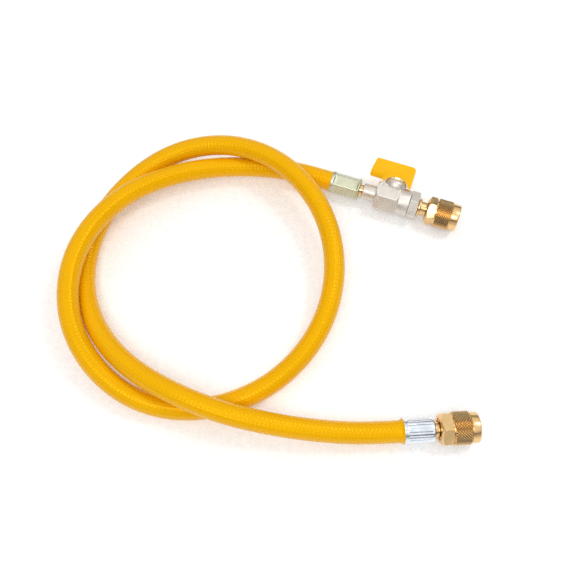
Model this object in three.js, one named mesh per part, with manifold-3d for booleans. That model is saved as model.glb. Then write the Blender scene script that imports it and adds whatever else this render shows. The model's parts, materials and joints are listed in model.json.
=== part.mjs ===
// A one metre refrigerant charging hose, lying in a loose loop on a level floor.
// One end has a quarter turn ball valve with a blade handle, and both ends have a
// knurled swivel nut for a 1/4 inch flare fitting (7/16-20 thread). Sizes are in mm.
import * as THREE from "three";
import { mergeVertices } from "three/addons/utils/BufferGeometryUtils.js";
import Module from "manifold-3d";

const wasm = await Module();
wasm.setup();

// Fits and facets
const CLEARANCE = 0.3; // between pieces that touch
const TURN_SEGMENTS = 30; // facets round a visible turned piece
const INNER_SEGMENTS = 20; // facets round a hidden turned piece
const OVERSHOOT = 1; // how far a cutter runs past the face that it cuts

// Hose
const HOSE_DIAMETER = 11.5;
const HOSE_SIDES = 10;
const HOSE_STEPS = 64;
const HOSE_STRAIGHT = 23; // hose that runs straight out of each ferrule

// Swivel nuts, from the hexagon at the rear to the open front. The free end's is the larger.
const VALVE_NUT_HEX_FLATS = 14.3;
const VALVE_NUT_HEX_LENGTH = 4.9;
const VALVE_NUT_KNURL_DIAMETER = 16.8;
const VALVE_NUT_TURN = 32; // degrees from +Y to a corner of the hexagon
const FREE_NUT_HEX_FLATS = 15.6;
const FREE_NUT_HEX_LENGTH = 6.1;
const FREE_NUT_KNURL_DIAMETER = 17.3;
const FREE_NUT_TURN = 44;
const NUT_REAR_CHAMFER_LENGTH = 1.5;
const NUT_REAR_CHAMFER_DEPTH = 1.8;
const NUT_HEX_FRONT_CHAMFER = 0.6;
const NUT_REAR_GROOVE_LENGTH = 0.7;
const NUT_KNURL_LENGTH = 8.6;
const NUT_FRONT_GROOVE_LENGTH = 0.3;
const NUT_GROOVE_DIAMETER = 14.6;
const NUT_KNURL_BEVEL = 0.4;
const NUT_COLLAR_DIAMETER = 15.8;
const NUT_COLLAR_LENGTH = 4.3;
const NUT_FRONT_EDGE = 0.8;
const NUT_RECESS_DIAMETER = 11.2;
const NUT_RECESS_DEPTH = 1;
const THREAD_DEPTH = 12; // from the front to the shoulder that holds the swivel head
const THREAD_BORE = 9.9;
const THREAD_MOUTH = 11.4;

// Swivel necks and heads, and what lies in front of them in the nuts
const NECK_DIAMETER = 7.8;
const HEAD_THICKNESS = 1.5;
const GASKET_THICKNESS = 1.9;
const GASKET_HOLE = 4.6;
const FLOW_BORE = 3.6;
const DEPRESSOR_PIN = 1.6;
const DEPRESSOR_SHANK_LENGTH = 3;
const DEPRESSOR_REACH = 1.2; // pin length in front of the gasket

// Hose tails in the ferrules
const TAIL_SHANK = 6.2;
const TAIL_BARB = 7.2;
const TAIL_BARB_PITCH = 4;
const TAIL_BARBS = 3;
const TAIL_START = 1; // from the ferrule's mouth
const VALVE_TAIL_NECK = 7;
const VALVE_TAIL_SPIGOT = 6;
const VALVE_TAIL_SPIGOT_LENGTH = 5;

// Valve end, from the hose to the nut
const VALVE_FERRULE_LENGTH = 17.7;
const VALVE_FERRULE_PROUD = 0.55; // over the hose's radius
const VALVE_FERRULE_CHAMFER_LENGTH = 1.2;
const VALVE_FERRULE_CHAMFER_DEPTH = 1;
const CRIMP_FLATS = 11;
const CRIMP_START = 1.6;
const CRIMP_TURN = 12.5; // degrees from +Y to a corner of the crimped hexagon
const VALVE_NECK_LENGTH = 1.9;
const TUBE_DIAMETER = 9.5;
const TUBE_LENGTH = 7.7;
const TUBE_CHAMFER = 0.5;
const BODY_FLATS = 16;
const BODY_HEX_LENGTH = 14;
const BODY_END_ROUND = 2.6;
const BODY_HEX_CHAMFER = 1.2;
const BODY_ROUND_LENGTH = 6.2;
const STEM_PLACE = 9.6; // from the body's hose side to the stem's axis
const CAP_FLATS = 14.5;
const CAP_LENGTH = 5.3;
const CAP_CHAMFER = 0.6;
const CAP_TURN = 42.5; // degrees that the cap is turned against the body's hexagon
const CAP_SPIGOT_DIAMETER = 10;
const COLLAR_DIAMETER = 10.6;
const COLLAR_LENGTH = 1.8;
const COLLAR_EDGE = 0.4;
const STEM_THREAD = 6.4;
const STEM_THREAD_LENGTH = 4.5;
const VISIBLE_NECK_LENGTH = 3.6;

// Ball valve inside the body
const BALL_DIAMETER = 10;
const PORT_DIAMETER = 4;
const SEAT_HOLE = 4.8;
const SEAT_THICKNESS = 1.7;
const BALL_SLOT_WIDTH = 2.4;
const BALL_SLOT_DEPTH = 1.6;
const STEM_DIAMETER = 4;
const STEM_FLATS = 2.4;
const STEM_REACH = 18; // from the valve's axis to the stem's top
const STEM_ELEVATION = 30; // degrees over the floor
const BONNET_DIAMETER = 8.8;
const BONNET_HEIGHT = 11.2; // from the valve's axis
const BONNET_CHAMFER = 0.6;
const BONNET_BASE_DIAMETER = 12.2;
const BONNET_BASE_HEIGHT = 9.2;

// Handle: a flat blade in the plane of the valve's axis and the stem
const HANDLE_THICKNESS = 4.5;
const HANDLE_TOP = 20.9; // from the valve's axis
const HANDLE_LONG_WING = 16.1;
const HANDLE_LONG_WING_TOP = 14.6;
const HANDLE_SHORT_WING = 8.9;
const HANDLE_LEG_GAP = 0.6; // from the body's flat to the blade's legs
const HANDLE_WING_FOOT = 9.8;
const HANDLE_WING_CORNER = 13.9;
const HANDLE_ARCH_HALF = 7.4;
const HANDLE_ARCH_TOP = 12.9;
const HANDLE_ARCH_SPRING = 7.4; // height of the arch's widest place
const HANDLE_LEG_WIDTH = 1.1;
const HANDLE_CORNER = 2.2;
const HANDLE_EDGE = 0.4;

// Free end, from the hose to the nut
const FREE_FERRULE_LENGTH = 16;
const FREE_FERRULE_PROUD = 0.55;
const FREE_FERRULE_RIM = 0.75; // the rim at its mouth, over the hose's radius
const FREE_FERRULE_RIM_LENGTH = 0.8;
const FREE_FERRULE_GROOVE = 0.3; // the groove behind the rim, over the hose's radius
const FREE_FERRULE_GROOVE_LENGTH = 0.6;
const FREE_FERRULE_CHAMFER = 1.2;
const FREE_NECK_LENGTH = 2.5;

// How the fittings lie: the middle of each ferrule's mouth, and the heading in degrees
// from +X. Both nuts rest on the floor.
const VALVE_MOUTH_X = -36.55;
const VALVE_MOUTH_Y = 72.2;
const VALVE_HEADING = -18.9;
const FREE_MOUTH_X = -3.65;
const FREE_MOUTH_Y = -75.5;
const FREE_HEADING = 3.2;

// The hose's route between its two straight ends, as the control points of a spline
const HOSE_ROUTE = [
  [-82, 82, 9.5],
  [-107, 80, 12],
  [-130.5, 73, 15],
  [-152, 61.5, 18],
  [-168.5, 44.5, 20],
  [-179.5, 23.5, 20.5],
  [-183, 0.5, 19],
  [-178.5, -22.5, 16.5],
  [-166.5, -42, 12.5],
  [-149, -56.5, 9],
  [-127.5, -64, 6.5],
  [-104, -64, 6],
  [-81, -56.5, 6],
  [-61, -43, 8],
  [-46, -24, 10.5],
  [-37.5, -2, 14],
  [-36, 21.5, 17],
  [-41.5, 44.5, 20],
  [-53.5, 65, 21.5],
  [-70.5, 80.5, 22],
  [-91.5, 90, 20.5],
  [-114, 91.5, 18],
  [-136, 85.5, 14.5],
  [-155, 72, 10.5],
  [-169.5, 53.5, 8],
  [-177, 31.5, 6.5],
  [-178, 8.5, 7],
  [-171, -13.5, 9.5],
  [-158, -32.5, 13],
  [-140.5, -47.5, 16.5],
  [-119.5, -59, 18.5],
  [-97.5, -67.5, 18],
  [-74.5, -72.5, 15],
  [-51, -75.5, 11.5],
];

// Places that follow from the sizes, along the valve end's axis
const tubeStart = VALVE_FERRULE_LENGTH + VALVE_NECK_LENGTH;
const bodyStart = tubeStart + TUBE_LENGTH;
const stemPlace = bodyStart + STEM_PLACE;
const roundStart = bodyStart + BODY_HEX_LENGTH;
const bodyEnd = roundStart + BODY_ROUND_LENGTH;
const capEnd = bodyEnd + CAP_LENGTH;
const collarEnd = capEnd + COLLAR_LENGTH;
const valveNutStart = collarEnd + VISIBLE_NECK_LENGTH;
const freeNutStart = FREE_FERRULE_LENGTH + FREE_NECK_LENGTH;
const valveNut = nutSizes(
  valveNutStart,
  VALVE_NUT_HEX_FLATS,
  VALVE_NUT_HEX_LENGTH,
  VALVE_NUT_KNURL_DIAMETER,
  VALVE_NUT_TURN,
);
const freeNut = nutSizes(
  freeNutStart,
  FREE_NUT_HEX_FLATS,
  FREE_NUT_HEX_LENGTH,
  FREE_NUT_KNURL_DIAMETER,
  FREE_NUT_TURN,
);
const seatNear = Math.sqrt((BALL_DIAMETER / 2) ** 2 - (SEAT_HOLE / 2) ** 2) + CLEARANCE;
const seatFar = seatNear + SEAT_THICKNESS;
const cavityRadius = BALL_DIAMETER / 2 + CLEARANCE;

const hoseYellow = finish(0xf2b200, 0.5, 0);
const handleYellow = finish(0xffbe14, 0.45, 0);
const nickel = finish(0xc8c3b9, 0.35, 0.9);
const zinc = finish(0xd3cfc0, 0.4, 0.8);
const brightPlate = finish(0xc7ccd6, 0.25, 0.95);
const brass = finish(0xd9a55f, 0.3, 0.95);
const rubber = finish(0x1c1c1c, 0.8, 0);
const white = finish(0xf0f0ea, 0.5, 0);

function finish(color, roughness, metalness) {
  return new THREE.MeshStandardMaterial({ color, roughness, metalness });
}

// The stations of a nut whose rear face is at the given place along its fitting, and the
// height of its axis when it rests on the floor on its knurl or a corner of its hexagon
function nutSizes(rear, hexFlats, hexLength, knurlDiameter, turn) {
  const hexCorner = hexFlats / Math.sqrt(3);
  const knurlStart = hexLength + NUT_REAR_GROOVE_LENGTH;
  const knurlEnd = knurlStart + NUT_KNURL_LENGTH;
  const collarStart = knurlEnd + NUT_FRONT_GROOVE_LENGTH;
  const length = collarStart + NUT_COLLAR_LENGTH;
  const shoulder = length - THREAD_DEPTH;
  const cornerHeights = [0, 60, 120].map((step) => {
    return hexCorner * Math.abs(Math.sin(THREE.MathUtils.degToRad(turn + step)));
  });
  const knurl = knurlDiameter / 2;
  const axisHeight = Math.max(knurl, ...cornerHeights);
  const hexagon = { hexFlats, hexLength, hexCorner, turn };
  const stations = { knurlStart, knurlEnd, collarStart, length, shoulder };
  return { rear, ...hexagon, knurl, ...stations, axisHeight };
}

// A closed solid from a geometry, and a geometry from a solid
function solidOf(geometry) {
  const bare = geometry.clone();
  bare.deleteAttribute("normal");
  bare.deleteAttribute("uv");
  const merged = mergeVertices(bare, 1e-4);
  return new wasm.Manifold(
    new wasm.Mesh({
      numProp: 3,
      vertProperties: merged.attributes.position.array,
      triVerts: new Uint32Array(merged.index.array),
    }),
  );
}

function geometryOf(solid) {
  const { vertProperties, triVerts } = solid.getMesh();
  const geometry = new THREE.BufferGeometry();
  geometry.setAttribute("position", new THREE.BufferAttribute(vertProperties, 3));
  geometry.setIndex(new THREE.BufferAttribute(triVerts, 1));
  geometry.computeVertexNormals();
  return geometry;
}

function piece(name, geometry, material) {
  const mesh = new THREE.Mesh(geometry, material);
  mesh.name = name;
  return mesh;
}

// A piece turned about +X from an outline of [place, radius] points
function turned(outline, segments = TURN_SEGMENTS) {
  const points = outline.map(([place, radius]) => new THREE.Vector2(radius, place));
  return new THREE.LatheGeometry(points, segments).rotateZ(-Math.PI / 2);
}

// A turned piece with a straight bore: the outline's outer points, closed along the bore
function turnedRing(outline, boreRadius, segments) {
  const start = [outline[0][0], boreRadius];
  const end = [outline.at(-1)[0], boreRadius];
  return turned([start, ...outline, end, start], segments);
}

function rod(from, to, radius, segments) {
  return turned([[from, 0], [from, radius], [to, radius], [to, 0]], segments);
}

// A hexagonal bar along +X, with a corner turned by some degrees from +Y to +Z
function hexBar(acrossFlats, from, to, turn) {
  const outline = new THREE.Shape();
  for (let corner = 0; corner < 6; corner++) {
    const angle = THREE.MathUtils.degToRad(turn + 60 * corner);
    const reach = acrossFlats / Math.sqrt(3);
    const move = corner === 0 ? "moveTo" : "lineTo";
    outline[move](-reach * Math.sin(angle), reach * Math.cos(angle));
  }
  const options = { depth: to - from, bevelEnabled: false };
  return new THREE.ExtrudeGeometry(outline, options).rotateY(Math.PI / 2).translate(from, 0, 0);
}

function swivelNut({ rear, ...nut }) {
  const { hexFlats, hexLength, hexCorner, knurl, knurlStart, knurlEnd, length } = nut;
  const collar = NUT_COLLAR_DIAMETER / 2;
  const groove = NUT_GROOVE_DIAMETER / 2;
  const inHexagon = Math.min(groove, hexFlats / 2) - NUT_KNURL_BEVEL;
  const thread = THREAD_BORE / 2;
  const mouth = THREAD_MOUTH / 2;
  const neckHole = NECK_DIAMETER / 2 + CLEARANCE;
  const recess = NUT_RECESS_DIAMETER / 2;
  const recessEnd = NUT_RECESS_DEPTH + recess - neckHole;
  const envelope = turned([
    [0, 0],
    [0, hexCorner - NUT_REAR_CHAMFER_DEPTH],
    [NUT_REAR_CHAMFER_LENGTH, hexCorner],
    [hexLength - NUT_HEX_FRONT_CHAMFER, hexCorner],
    [hexLength, hexCorner - NUT_HEX_FRONT_CHAMFER],
    [hexLength, 0],
  ]);
  const front = turned([
    [hexLength / 2, 0],
    [hexLength / 2, inHexagon - NUT_KNURL_BEVEL],
    [hexLength, inHexagon],
    [hexLength, groove],
    [knurlStart, groove],
    [knurlStart, knurl - NUT_KNURL_BEVEL],
    [knurlStart + NUT_KNURL_BEVEL, knurl],
    [knurlEnd - NUT_KNURL_BEVEL, knurl],
    [knurlEnd, knurl - NUT_KNURL_BEVEL],
    [knurlEnd, groove],
    [nut.collarStart, groove],
    [nut.collarStart, collar],
    [length - NUT_FRONT_EDGE, collar],
    [length - NUT_FRONT_EDGE / 3, collar - NUT_FRONT_EDGE / 3],
    [length, collar - NUT_FRONT_EDGE],
    [length, 0],
  ]);
  const bore = turned([
    [-OVERSHOOT, 0],
    [-OVERSHOOT, recess],
    [NUT_RECESS_DEPTH, recess],
    [recessEnd, neckHole],
    [nut.shoulder, neckHole],
    [nut.shoulder, thread],
    [length - (mouth - thread), thread],
    [length + OVERSHOOT, mouth + OVERSHOOT],
    [length + OVERSHOOT, 0],
  ]);
  const hexagon = solidOf(hexBar(hexFlats, 0, hexLength, nut.turn)).intersect(solidOf(envelope));
  const whole = hexagon.add(solidOf(front)).subtract(solidOf(bore));
  return geometryOf(whole).translate(rear, 0, 0);
}

// The outer points of the swivel's neck and head that a nut turns on
function swivelHead(nut) {
  const headStart = nut.rear + nut.shoulder + CLEARANCE;
  const headRadius = THREAD_BORE / 2 - CLEARANCE;
  return [
    [headStart, NECK_DIAMETER / 2],
    [headStart, headRadius],
    [headStart + HEAD_THICKNESS, headRadius],
  ];
}

function gasketStart(nut) {
  return nut.rear + nut.shoulder + CLEARANCE + HEAD_THICKNESS + CLEARANCE;
}

function gasket(nut) {
  const start = gasketStart(nut);
  return turnedRing(
    [
      [start, THREAD_BORE / 2 - CLEARANCE],
      [start + GASKET_THICKNESS, THREAD_BORE / 2 - CLEARANCE],
    ],
    GASKET_HOLE / 2,
    INNER_SEGMENTS,
  );
}

// The outer points of a hose tail's barbed shank
function barbedShank() {
  const points = [[TAIL_START, TAIL_SHANK / 2]];
  for (let barb = 1; barb <= TAIL_BARBS; barb++) {
    const crest = TAIL_START + barb * TAIL_BARB_PITCH;
    points.push([crest, TAIL_BARB / 2], [crest, TAIL_SHANK / 2]);
  }
  return points;
}

function hoseTail(ferruleLength, neckRadius, afterNeck) {
  const shank = barbedShank();
  const neckStart = Math.max(ferruleLength - TAIL_BARB_PITCH / 2, shank.at(-1)[0] + CLEARANCE);
  const outline = [...shank, [neckStart, TAIL_SHANK / 2], [neckStart, neckRadius], ...afterNeck];
  return turnedRing(outline, FLOW_BORE / 2, INNER_SEGMENTS);
}

function ferruleBore(neckDiameter) {
  return Math.max(neckDiameter, TAIL_BARB) / 2 + CLEARANCE;
}

// The valve end's ferrule: a round sleeve crimped to a hexagon along most of its length
function valveFerrule() {
  const wall = HOSE_DIAMETER / 2 + VALVE_FERRULE_PROUD;
  const crimpEnd = VALVE_FERRULE_LENGTH - VALVE_FERRULE_CHAMFER_LENGTH;
  const sleeve = turnedRing(
    [
      [0, wall],
      [crimpEnd, wall],
      [VALVE_FERRULE_LENGTH, wall - VALVE_FERRULE_CHAMFER_DEPTH],
    ],
    ferruleBore(VALVE_TAIL_NECK),
  );
  const ring = rod(CRIMP_START, crimpEnd, wall + OVERSHOOT);
  const flats = hexBar(CRIMP_FLATS, CRIMP_START - OVERSHOOT, crimpEnd + OVERSHOOT, CRIMP_TURN);
  return geometryOf(solidOf(sleeve).subtract(solidOf(ring).subtract(solidOf(flats))));
}

function valveTail() {
  const spigotEnd = tubeStart + VALVE_TAIL_SPIGOT_LENGTH;
  return hoseTail(VALVE_FERRULE_LENGTH, VALVE_TAIL_NECK / 2, [
    [tubeStart - CLEARANCE, VALVE_TAIL_NECK / 2],
    [tubeStart - CLEARANCE, VALVE_TAIL_SPIGOT / 2],
    [spigotEnd, VALVE_TAIL_SPIGOT / 2],
  ]);
}

// Pieces on the stem's axis are made along +Z and leaned over with the stem
function leaned(geometry) {
  const lean = THREE.MathUtils.degToRad(STEM_ELEVATION - 90);
  return geometry.rotateX(lean).translate(stemPlace, 0, 0);
}

function upright(outline, segments) {
  return turned(outline, segments).rotateY(-Math.PI / 2);
}

function valveBody() {
  const corner = BODY_FLATS / Math.sqrt(3);
  const round = BODY_FLATS / 2;
  const tube = TUBE_DIAMETER / 2;
  const endFace = corner - BODY_END_ROUND;
  const arcSteps = 5;
  const endArc = [];
  for (let step = 0; step <= arcSteps; step++) {
    const angle = (Math.PI / 2) * (step / arcSteps);
    const place = bodyStart + BODY_END_ROUND * (1 - Math.cos(angle));
    endArc.push([place, endFace + BODY_END_ROUND * Math.sin(angle)]);
  }
  const envelope = turned([
    [bodyStart, 0],
    ...endArc,
    [roundStart - BODY_HEX_CHAMFER, corner],
    [roundStart, round],
    [roundStart, 0],
  ]);
  const turnedPart = turned([
    [tubeStart, 0],
    [tubeStart, tube - TUBE_CHAMFER],
    [tubeStart + TUBE_CHAMFER, tube],
    [bodyStart + BODY_END_ROUND, tube],
    [bodyStart + BODY_END_ROUND, round - BODY_END_ROUND / 2],
    [roundStart - BODY_HEX_CHAMFER, round - CLEARANCE],
    [roundStart - BODY_HEX_CHAMFER, round],
    [bodyEnd, round],
    [bodyEnd, 0],
  ]);
  const bonnet = upright([
    [0, 0],
    [0, BONNET_BASE_DIAMETER / 2],
    [BONNET_BASE_HEIGHT, BONNET_BASE_DIAMETER / 2],
    [BONNET_BASE_HEIGHT, BONNET_DIAMETER / 2],
    [BONNET_HEIGHT - BONNET_CHAMFER, BONNET_DIAMETER / 2],
    [BONNET_HEIGHT, BONNET_DIAMETER / 2 - BONNET_CHAMFER],
    [BONNET_HEIGHT, 0],
  ]);
  const spigotHole = VALVE_TAIL_SPIGOT / 2 + CLEARANCE;
  const spigotHoleEnd = tubeStart + VALVE_TAIL_SPIGOT_LENGTH + CLEARANCE;
  const cavityStart = stemPlace - seatFar - CLEARANCE;
  const waterway = turned([
    [tubeStart - OVERSHOOT, 0],
    [tubeStart - OVERSHOOT, spigotHole],
    [spigotHoleEnd, spigotHole],
    [spigotHoleEnd, PORT_DIAMETER / 2],
    [cavityStart, PORT_DIAMETER / 2],
    [cavityStart, cavityRadius],
    [bodyEnd + OVERSHOOT, cavityRadius],
    [bodyEnd + OVERSHOOT, 0],
  ]);
  const stemHole = upright([
    [0, 0],
    [0, STEM_DIAMETER / 2 + CLEARANCE],
    [BONNET_HEIGHT + OVERSHOOT, STEM_DIAMETER / 2 + CLEARANCE],
    [BONNET_HEIGHT + OVERSHOOT, 0],
  ]);
  const hexagon = solidOf(hexBar(BODY_FLATS, bodyStart, roundStart, 0)).intersect(solidOf(envelope));
  const body = hexagon
    .add(solidOf(turnedPart))
    .add(solidOf(leaned(bonnet)))
    .subtract(solidOf(waterway))
    .subtract(solidOf(leaned(stemHole)));
  return geometryOf(body);
}

function valveSeat(side) {
  const near = stemPlace + side * seatNear;
  const far = stemPlace + side * seatFar;
  const outer = cavityRadius - CLEARANCE;
  const outline = [[Math.min(near, far), outer], [Math.max(near, far), outer]];
  return turnedRing(outline, SEAT_HOLE / 2, INNER_SEGMENTS);
}

function valveBall() {
  const radius = BALL_DIAMETER / 2;
  const sphere = solidOf(new THREE.SphereGeometry(radius, INNER_SEGMENTS, INNER_SEGMENTS / 2));
  const port = rod(-radius - OVERSHOOT, radius + OVERSHOOT, PORT_DIAMETER / 2, INNER_SEGMENTS);
  const slot = new THREE.BoxGeometry(BALL_DIAMETER, BALL_SLOT_WIDTH, 2 * BALL_SLOT_DEPTH);
  slot.translate(0, 0, radius);
  return leaned(geometryOf(sphere.subtract(solidOf(port)).subtract(solidOf(slot))));
}

// The stem: a tang in the ball's slot, a round shaft, and flats that drive the handle
function valveStem() {
  const radius = STEM_DIAMETER / 2;
  const ballTop = BALL_DIAMETER / 2;
  const tangBottom = ballTop - BALL_SLOT_DEPTH + CLEARANCE;
  const shaftStart = cavityRadius;
  const flatStart = BONNET_HEIGHT;
  const tangWidth = BALL_SLOT_WIDTH - 2 * CLEARANCE;
  const shaft = solidOf(
    upright(
      [
        [tangBottom, 0],
        [tangBottom, radius],
        [STEM_REACH, radius],
        [STEM_REACH, 0],
      ],
      INNER_SEGMENTS,
    ),
  );
  const cheek = (from, to, flats) => {
    const width = STEM_DIAMETER;
    const box = new THREE.BoxGeometry(2 * STEM_DIAMETER, width, to - from);
    return box.translate(0, flats / 2 + width / 2, (from + to) / 2);
  };
  const cheeks = [
    cheek(tangBottom - OVERSHOOT, shaftStart, tangWidth),
    cheek(flatStart, STEM_REACH + OVERSHOOT, STEM_FLATS),
  ];
  let stem = shaft;
  for (const near of cheeks) {
    const far = near.clone().rotateZ(Math.PI);
    stem = stem.subtract(solidOf(near)).subtract(solidOf(far));
  }
  return leaned(geometryOf(stem));
}

// The blade's outline, with x along the valve's axis and y along the stem
function handleOutline() {
  const foot = BODY_FLATS / 2 + HANDLE_LEG_GAP;
  const rise = HANDLE_ARCH_TOP - HANDLE_ARCH_SPRING;
  const springAngle = Math.asin((foot - HANDLE_ARCH_SPRING) / rise);
  const archFoot = HANDLE_ARCH_HALF * Math.cos(springAngle);
  const outline = new THREE.Shape();
  outline.moveTo(archFoot, foot);
  outline.lineTo(HANDLE_SHORT_WING, foot);
  outline.lineTo(HANDLE_SHORT_WING, HANDLE_TOP - HANDLE_CORNER);
  const cornerX = HANDLE_SHORT_WING - HANDLE_CORNER;
  outline.absarc(cornerX, HANDLE_TOP - HANDLE_CORNER, HANDLE_CORNER, 0, Math.PI / 2, false);
  outline.lineTo(-HANDLE_LONG_WING_TOP, HANDLE_TOP);
  outline.lineTo(-HANDLE_LONG_WING, HANDLE_WING_CORNER);
  outline.lineTo(-HANDLE_LONG_WING, HANDLE_WING_FOOT);
  outline.lineTo(-archFoot - HANDLE_LEG_WIDTH, HANDLE_WING_FOOT);
  outline.lineTo(-archFoot - HANDLE_LEG_WIDTH / 2, foot);
  outline.lineTo(-archFoot, foot);
  const [start, end] = [Math.PI - springAngle, springAngle];
  outline.absellipse(0, HANDLE_ARCH_SPRING, HANDLE_ARCH_HALF, rise, start, end, true);
  return outline;
}

function handle() {
  const options = {
    depth: HANDLE_THICKNESS - 2 * HANDLE_EDGE,
    bevelSize: HANDLE_EDGE,
    bevelOffset: -HANDLE_EDGE,
    bevelThickness: HANDLE_EDGE,
    bevelSegments: 1,
    curveSegments: 10,
  };
  const blade = new THREE.ExtrudeGeometry(handleOutline(), options);
  blade.rotateX(Math.PI / 2).translate(0, options.depth / 2, 0);
  const socketTop = STEM_REACH + CLEARANCE;
  const socketBottom = BONNET_HEIGHT;
  const socket = upright(
    [
      [socketBottom, 0],
      [socketBottom, STEM_DIAMETER / 2 + CLEARANCE],
      [socketTop, STEM_DIAMETER / 2 + CLEARANCE],
      [socketTop, 0],
    ],
    INNER_SEGMENTS,
  );
  const slot = new THREE.BoxGeometry(
    2 * STEM_DIAMETER,
    STEM_FLATS + 2 * CLEARANCE,
    2 * (socketTop - socketBottom),
  );
  slot.translate(0, 0, (socketTop + socketBottom) / 2);
  const cut = solidOf(socket).intersect(solidOf(slot));
  return leaned(geometryOf(solidOf(blade).subtract(cut)));
}

function valveEndCap() {
  const corner = CAP_FLATS / Math.sqrt(3);
  const start = bodyEnd + CLEARANCE;
  const spigotStart = stemPlace + seatFar + CLEARANCE;
  const envelope = turned([
    [start, 0],
    [start, corner],
    [capEnd - CAP_CHAMFER, corner],
    [capEnd, corner - CAP_CHAMFER],
    [capEnd, 0],
  ]);
  const spigot = rod(spigotStart, start + OVERSHOOT, CAP_SPIGOT_DIAMETER / 2);
  const threadStart = capEnd - STEM_THREAD_LENGTH - CLEARANCE;
  const threadHole = STEM_THREAD / 2 + CLEARANCE;
  const bore = turned([
    [spigotStart - OVERSHOOT, 0],
    [spigotStart - OVERSHOOT, PORT_DIAMETER / 2],
    [threadStart, PORT_DIAMETER / 2],
    [threadStart, threadHole],
    [capEnd + OVERSHOOT, threadHole],
    [capEnd + OVERSHOOT, 0],
  ]);
  const hexagon = solidOf(hexBar(CAP_FLATS, start, capEnd, CAP_TURN)).intersect(solidOf(envelope));
  return geometryOf(hexagon.add(solidOf(spigot)).subtract(solidOf(bore)));
}

function swivelStem() {
  const start = capEnd + CLEARANCE;
  const outline = [
    [capEnd - STEM_THREAD_LENGTH, STEM_THREAD / 2],
    [start, STEM_THREAD / 2],
    [start, COLLAR_DIAMETER / 2 - COLLAR_EDGE],
    [start + COLLAR_EDGE, COLLAR_DIAMETER / 2],
    [collarEnd - COLLAR_EDGE, COLLAR_DIAMETER / 2],
    [collarEnd, COLLAR_DIAMETER / 2 - COLLAR_EDGE],
    [collarEnd, NECK_DIAMETER / 2],
    ...swivelHead(valveNut),
  ];
  return turnedRing(outline, FLOW_BORE / 2);
}

// The pin that opens the valve core of the port that the nut is screwed to
function coreDepressor() {
  const faceStart = gasketStart(valveNut);
  const shankRadius = FLOW_BORE / 2 - CLEARANCE;
  const tip = faceStart + GASKET_THICKNESS + DEPRESSOR_REACH;
  const outline = [
    [faceStart - DEPRESSOR_SHANK_LENGTH, 0],
    [faceStart - DEPRESSOR_SHANK_LENGTH, shankRadius],
    [faceStart, shankRadius],
    [faceStart, DEPRESSOR_PIN / 2],
    [tip, DEPRESSOR_PIN / 2],
    [tip, 0],
  ];
  return turned(outline, INNER_SEGMENTS);
}

// The free end's ferrule: a round sleeve with a rim and a groove at its mouth
function freeFerrule() {
  const hose = HOSE_DIAMETER / 2;
  const wall = hose + FREE_FERRULE_PROUD;
  const end = FREE_FERRULE_LENGTH;
  const grooveEnd = FREE_FERRULE_RIM_LENGTH + FREE_FERRULE_GROOVE_LENGTH;
  return turnedRing(
    [
      [0, hose + FREE_FERRULE_RIM],
      [FREE_FERRULE_RIM_LENGTH, hose + FREE_FERRULE_RIM],
      [FREE_FERRULE_RIM_LENGTH, hose + FREE_FERRULE_GROOVE],
      [grooveEnd, hose + FREE_FERRULE_GROOVE],
      [grooveEnd, wall],
      [end - FREE_FERRULE_CHAMFER, wall],
      [end - FREE_FERRULE_CHAMFER / 3, wall - FREE_FERRULE_CHAMFER / 3],
      [end, wall - FREE_FERRULE_CHAMFER],
    ],
    ferruleBore(NECK_DIAMETER),
  );
}

// A smooth spline near its control points, straight where it leaves each end
class HoseCurve extends THREE.Curve {
  constructor(points) {
    super();
    this.points = points;
    this.arcLengthDivisions = 600;
  }

  control(index) {
    const { points } = this;
    const last = points.length - 1;
    if (index < 0) return points[0].clone().multiplyScalar(2).sub(points[1]);
    if (index > last) return points[last].clone().multiplyScalar(2).sub(points[last - 1]);
    return points[index];
  }

  getPoint(t, target = new THREE.Vector3()) {
    const spans = this.points.length - 1;
    const span = Math.min(Math.floor(t * spans), spans - 1);
    const u = t * spans - span;
    const weights = [
      (1 - u) ** 3,
      3 * u ** 3 - 6 * u ** 2 + 4,
      -3 * u ** 3 + 3 * u ** 2 + 3 * u + 1,
      u ** 3,
    ];
    target.set(0, 0, 0);
    weights.forEach((weight, offset) => {
      target.addScaledVector(this.control(span - 1 + offset), weight / 6);
    });
    return target;
  }
}

// The point at some distance along a fitting's axis, measured from its ferrule's mouth
function alongFitting({ mouth, heading, nut }, distance) {
  const angle = THREE.MathUtils.degToRad(heading);
  const [x, y] = mouth;
  return new THREE.Vector3(
    x + distance * Math.cos(angle),
    y + distance * Math.sin(angle),
    nut.axisHeight,
  );
}

function hose() {
  const straight = CLEARANCE + HOSE_STRAIGHT;
  const path = new HoseCurve([
    alongFitting(valvePlace, -CLEARANCE),
    alongFitting(valvePlace, -straight),
    ...HOSE_ROUTE.map((point) => new THREE.Vector3(...point)),
    alongFitting(freePlace, -straight),
    alongFitting(freePlace, -CLEARANCE),
  ]);
  const section = new THREE.Shape();
  section.absarc(0, 0, HOSE_DIAMETER / 2, 0, 2 * Math.PI, false);
  return new THREE.ExtrudeGeometry(section, {
    steps: HOSE_STEPS,
    curveSegments: HOSE_SIDES,
    extrudePath: path,
    bevelEnabled: false,
  });
}

function fitting(place, pieces) {
  const group = new THREE.Group();
  group.position.copy(alongFitting(place, 0));
  group.rotation.z = THREE.MathUtils.degToRad(place.heading);
  group.add(...pieces);
  return group;
}

const valvePlace = {
  mouth: [VALVE_MOUTH_X, VALVE_MOUTH_Y],
  heading: VALVE_HEADING,
  nut: valveNut,
};
const freePlace = {
  mouth: [FREE_MOUTH_X, FREE_MOUTH_Y],
  heading: FREE_HEADING,
  nut: freeNut,
};

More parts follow.
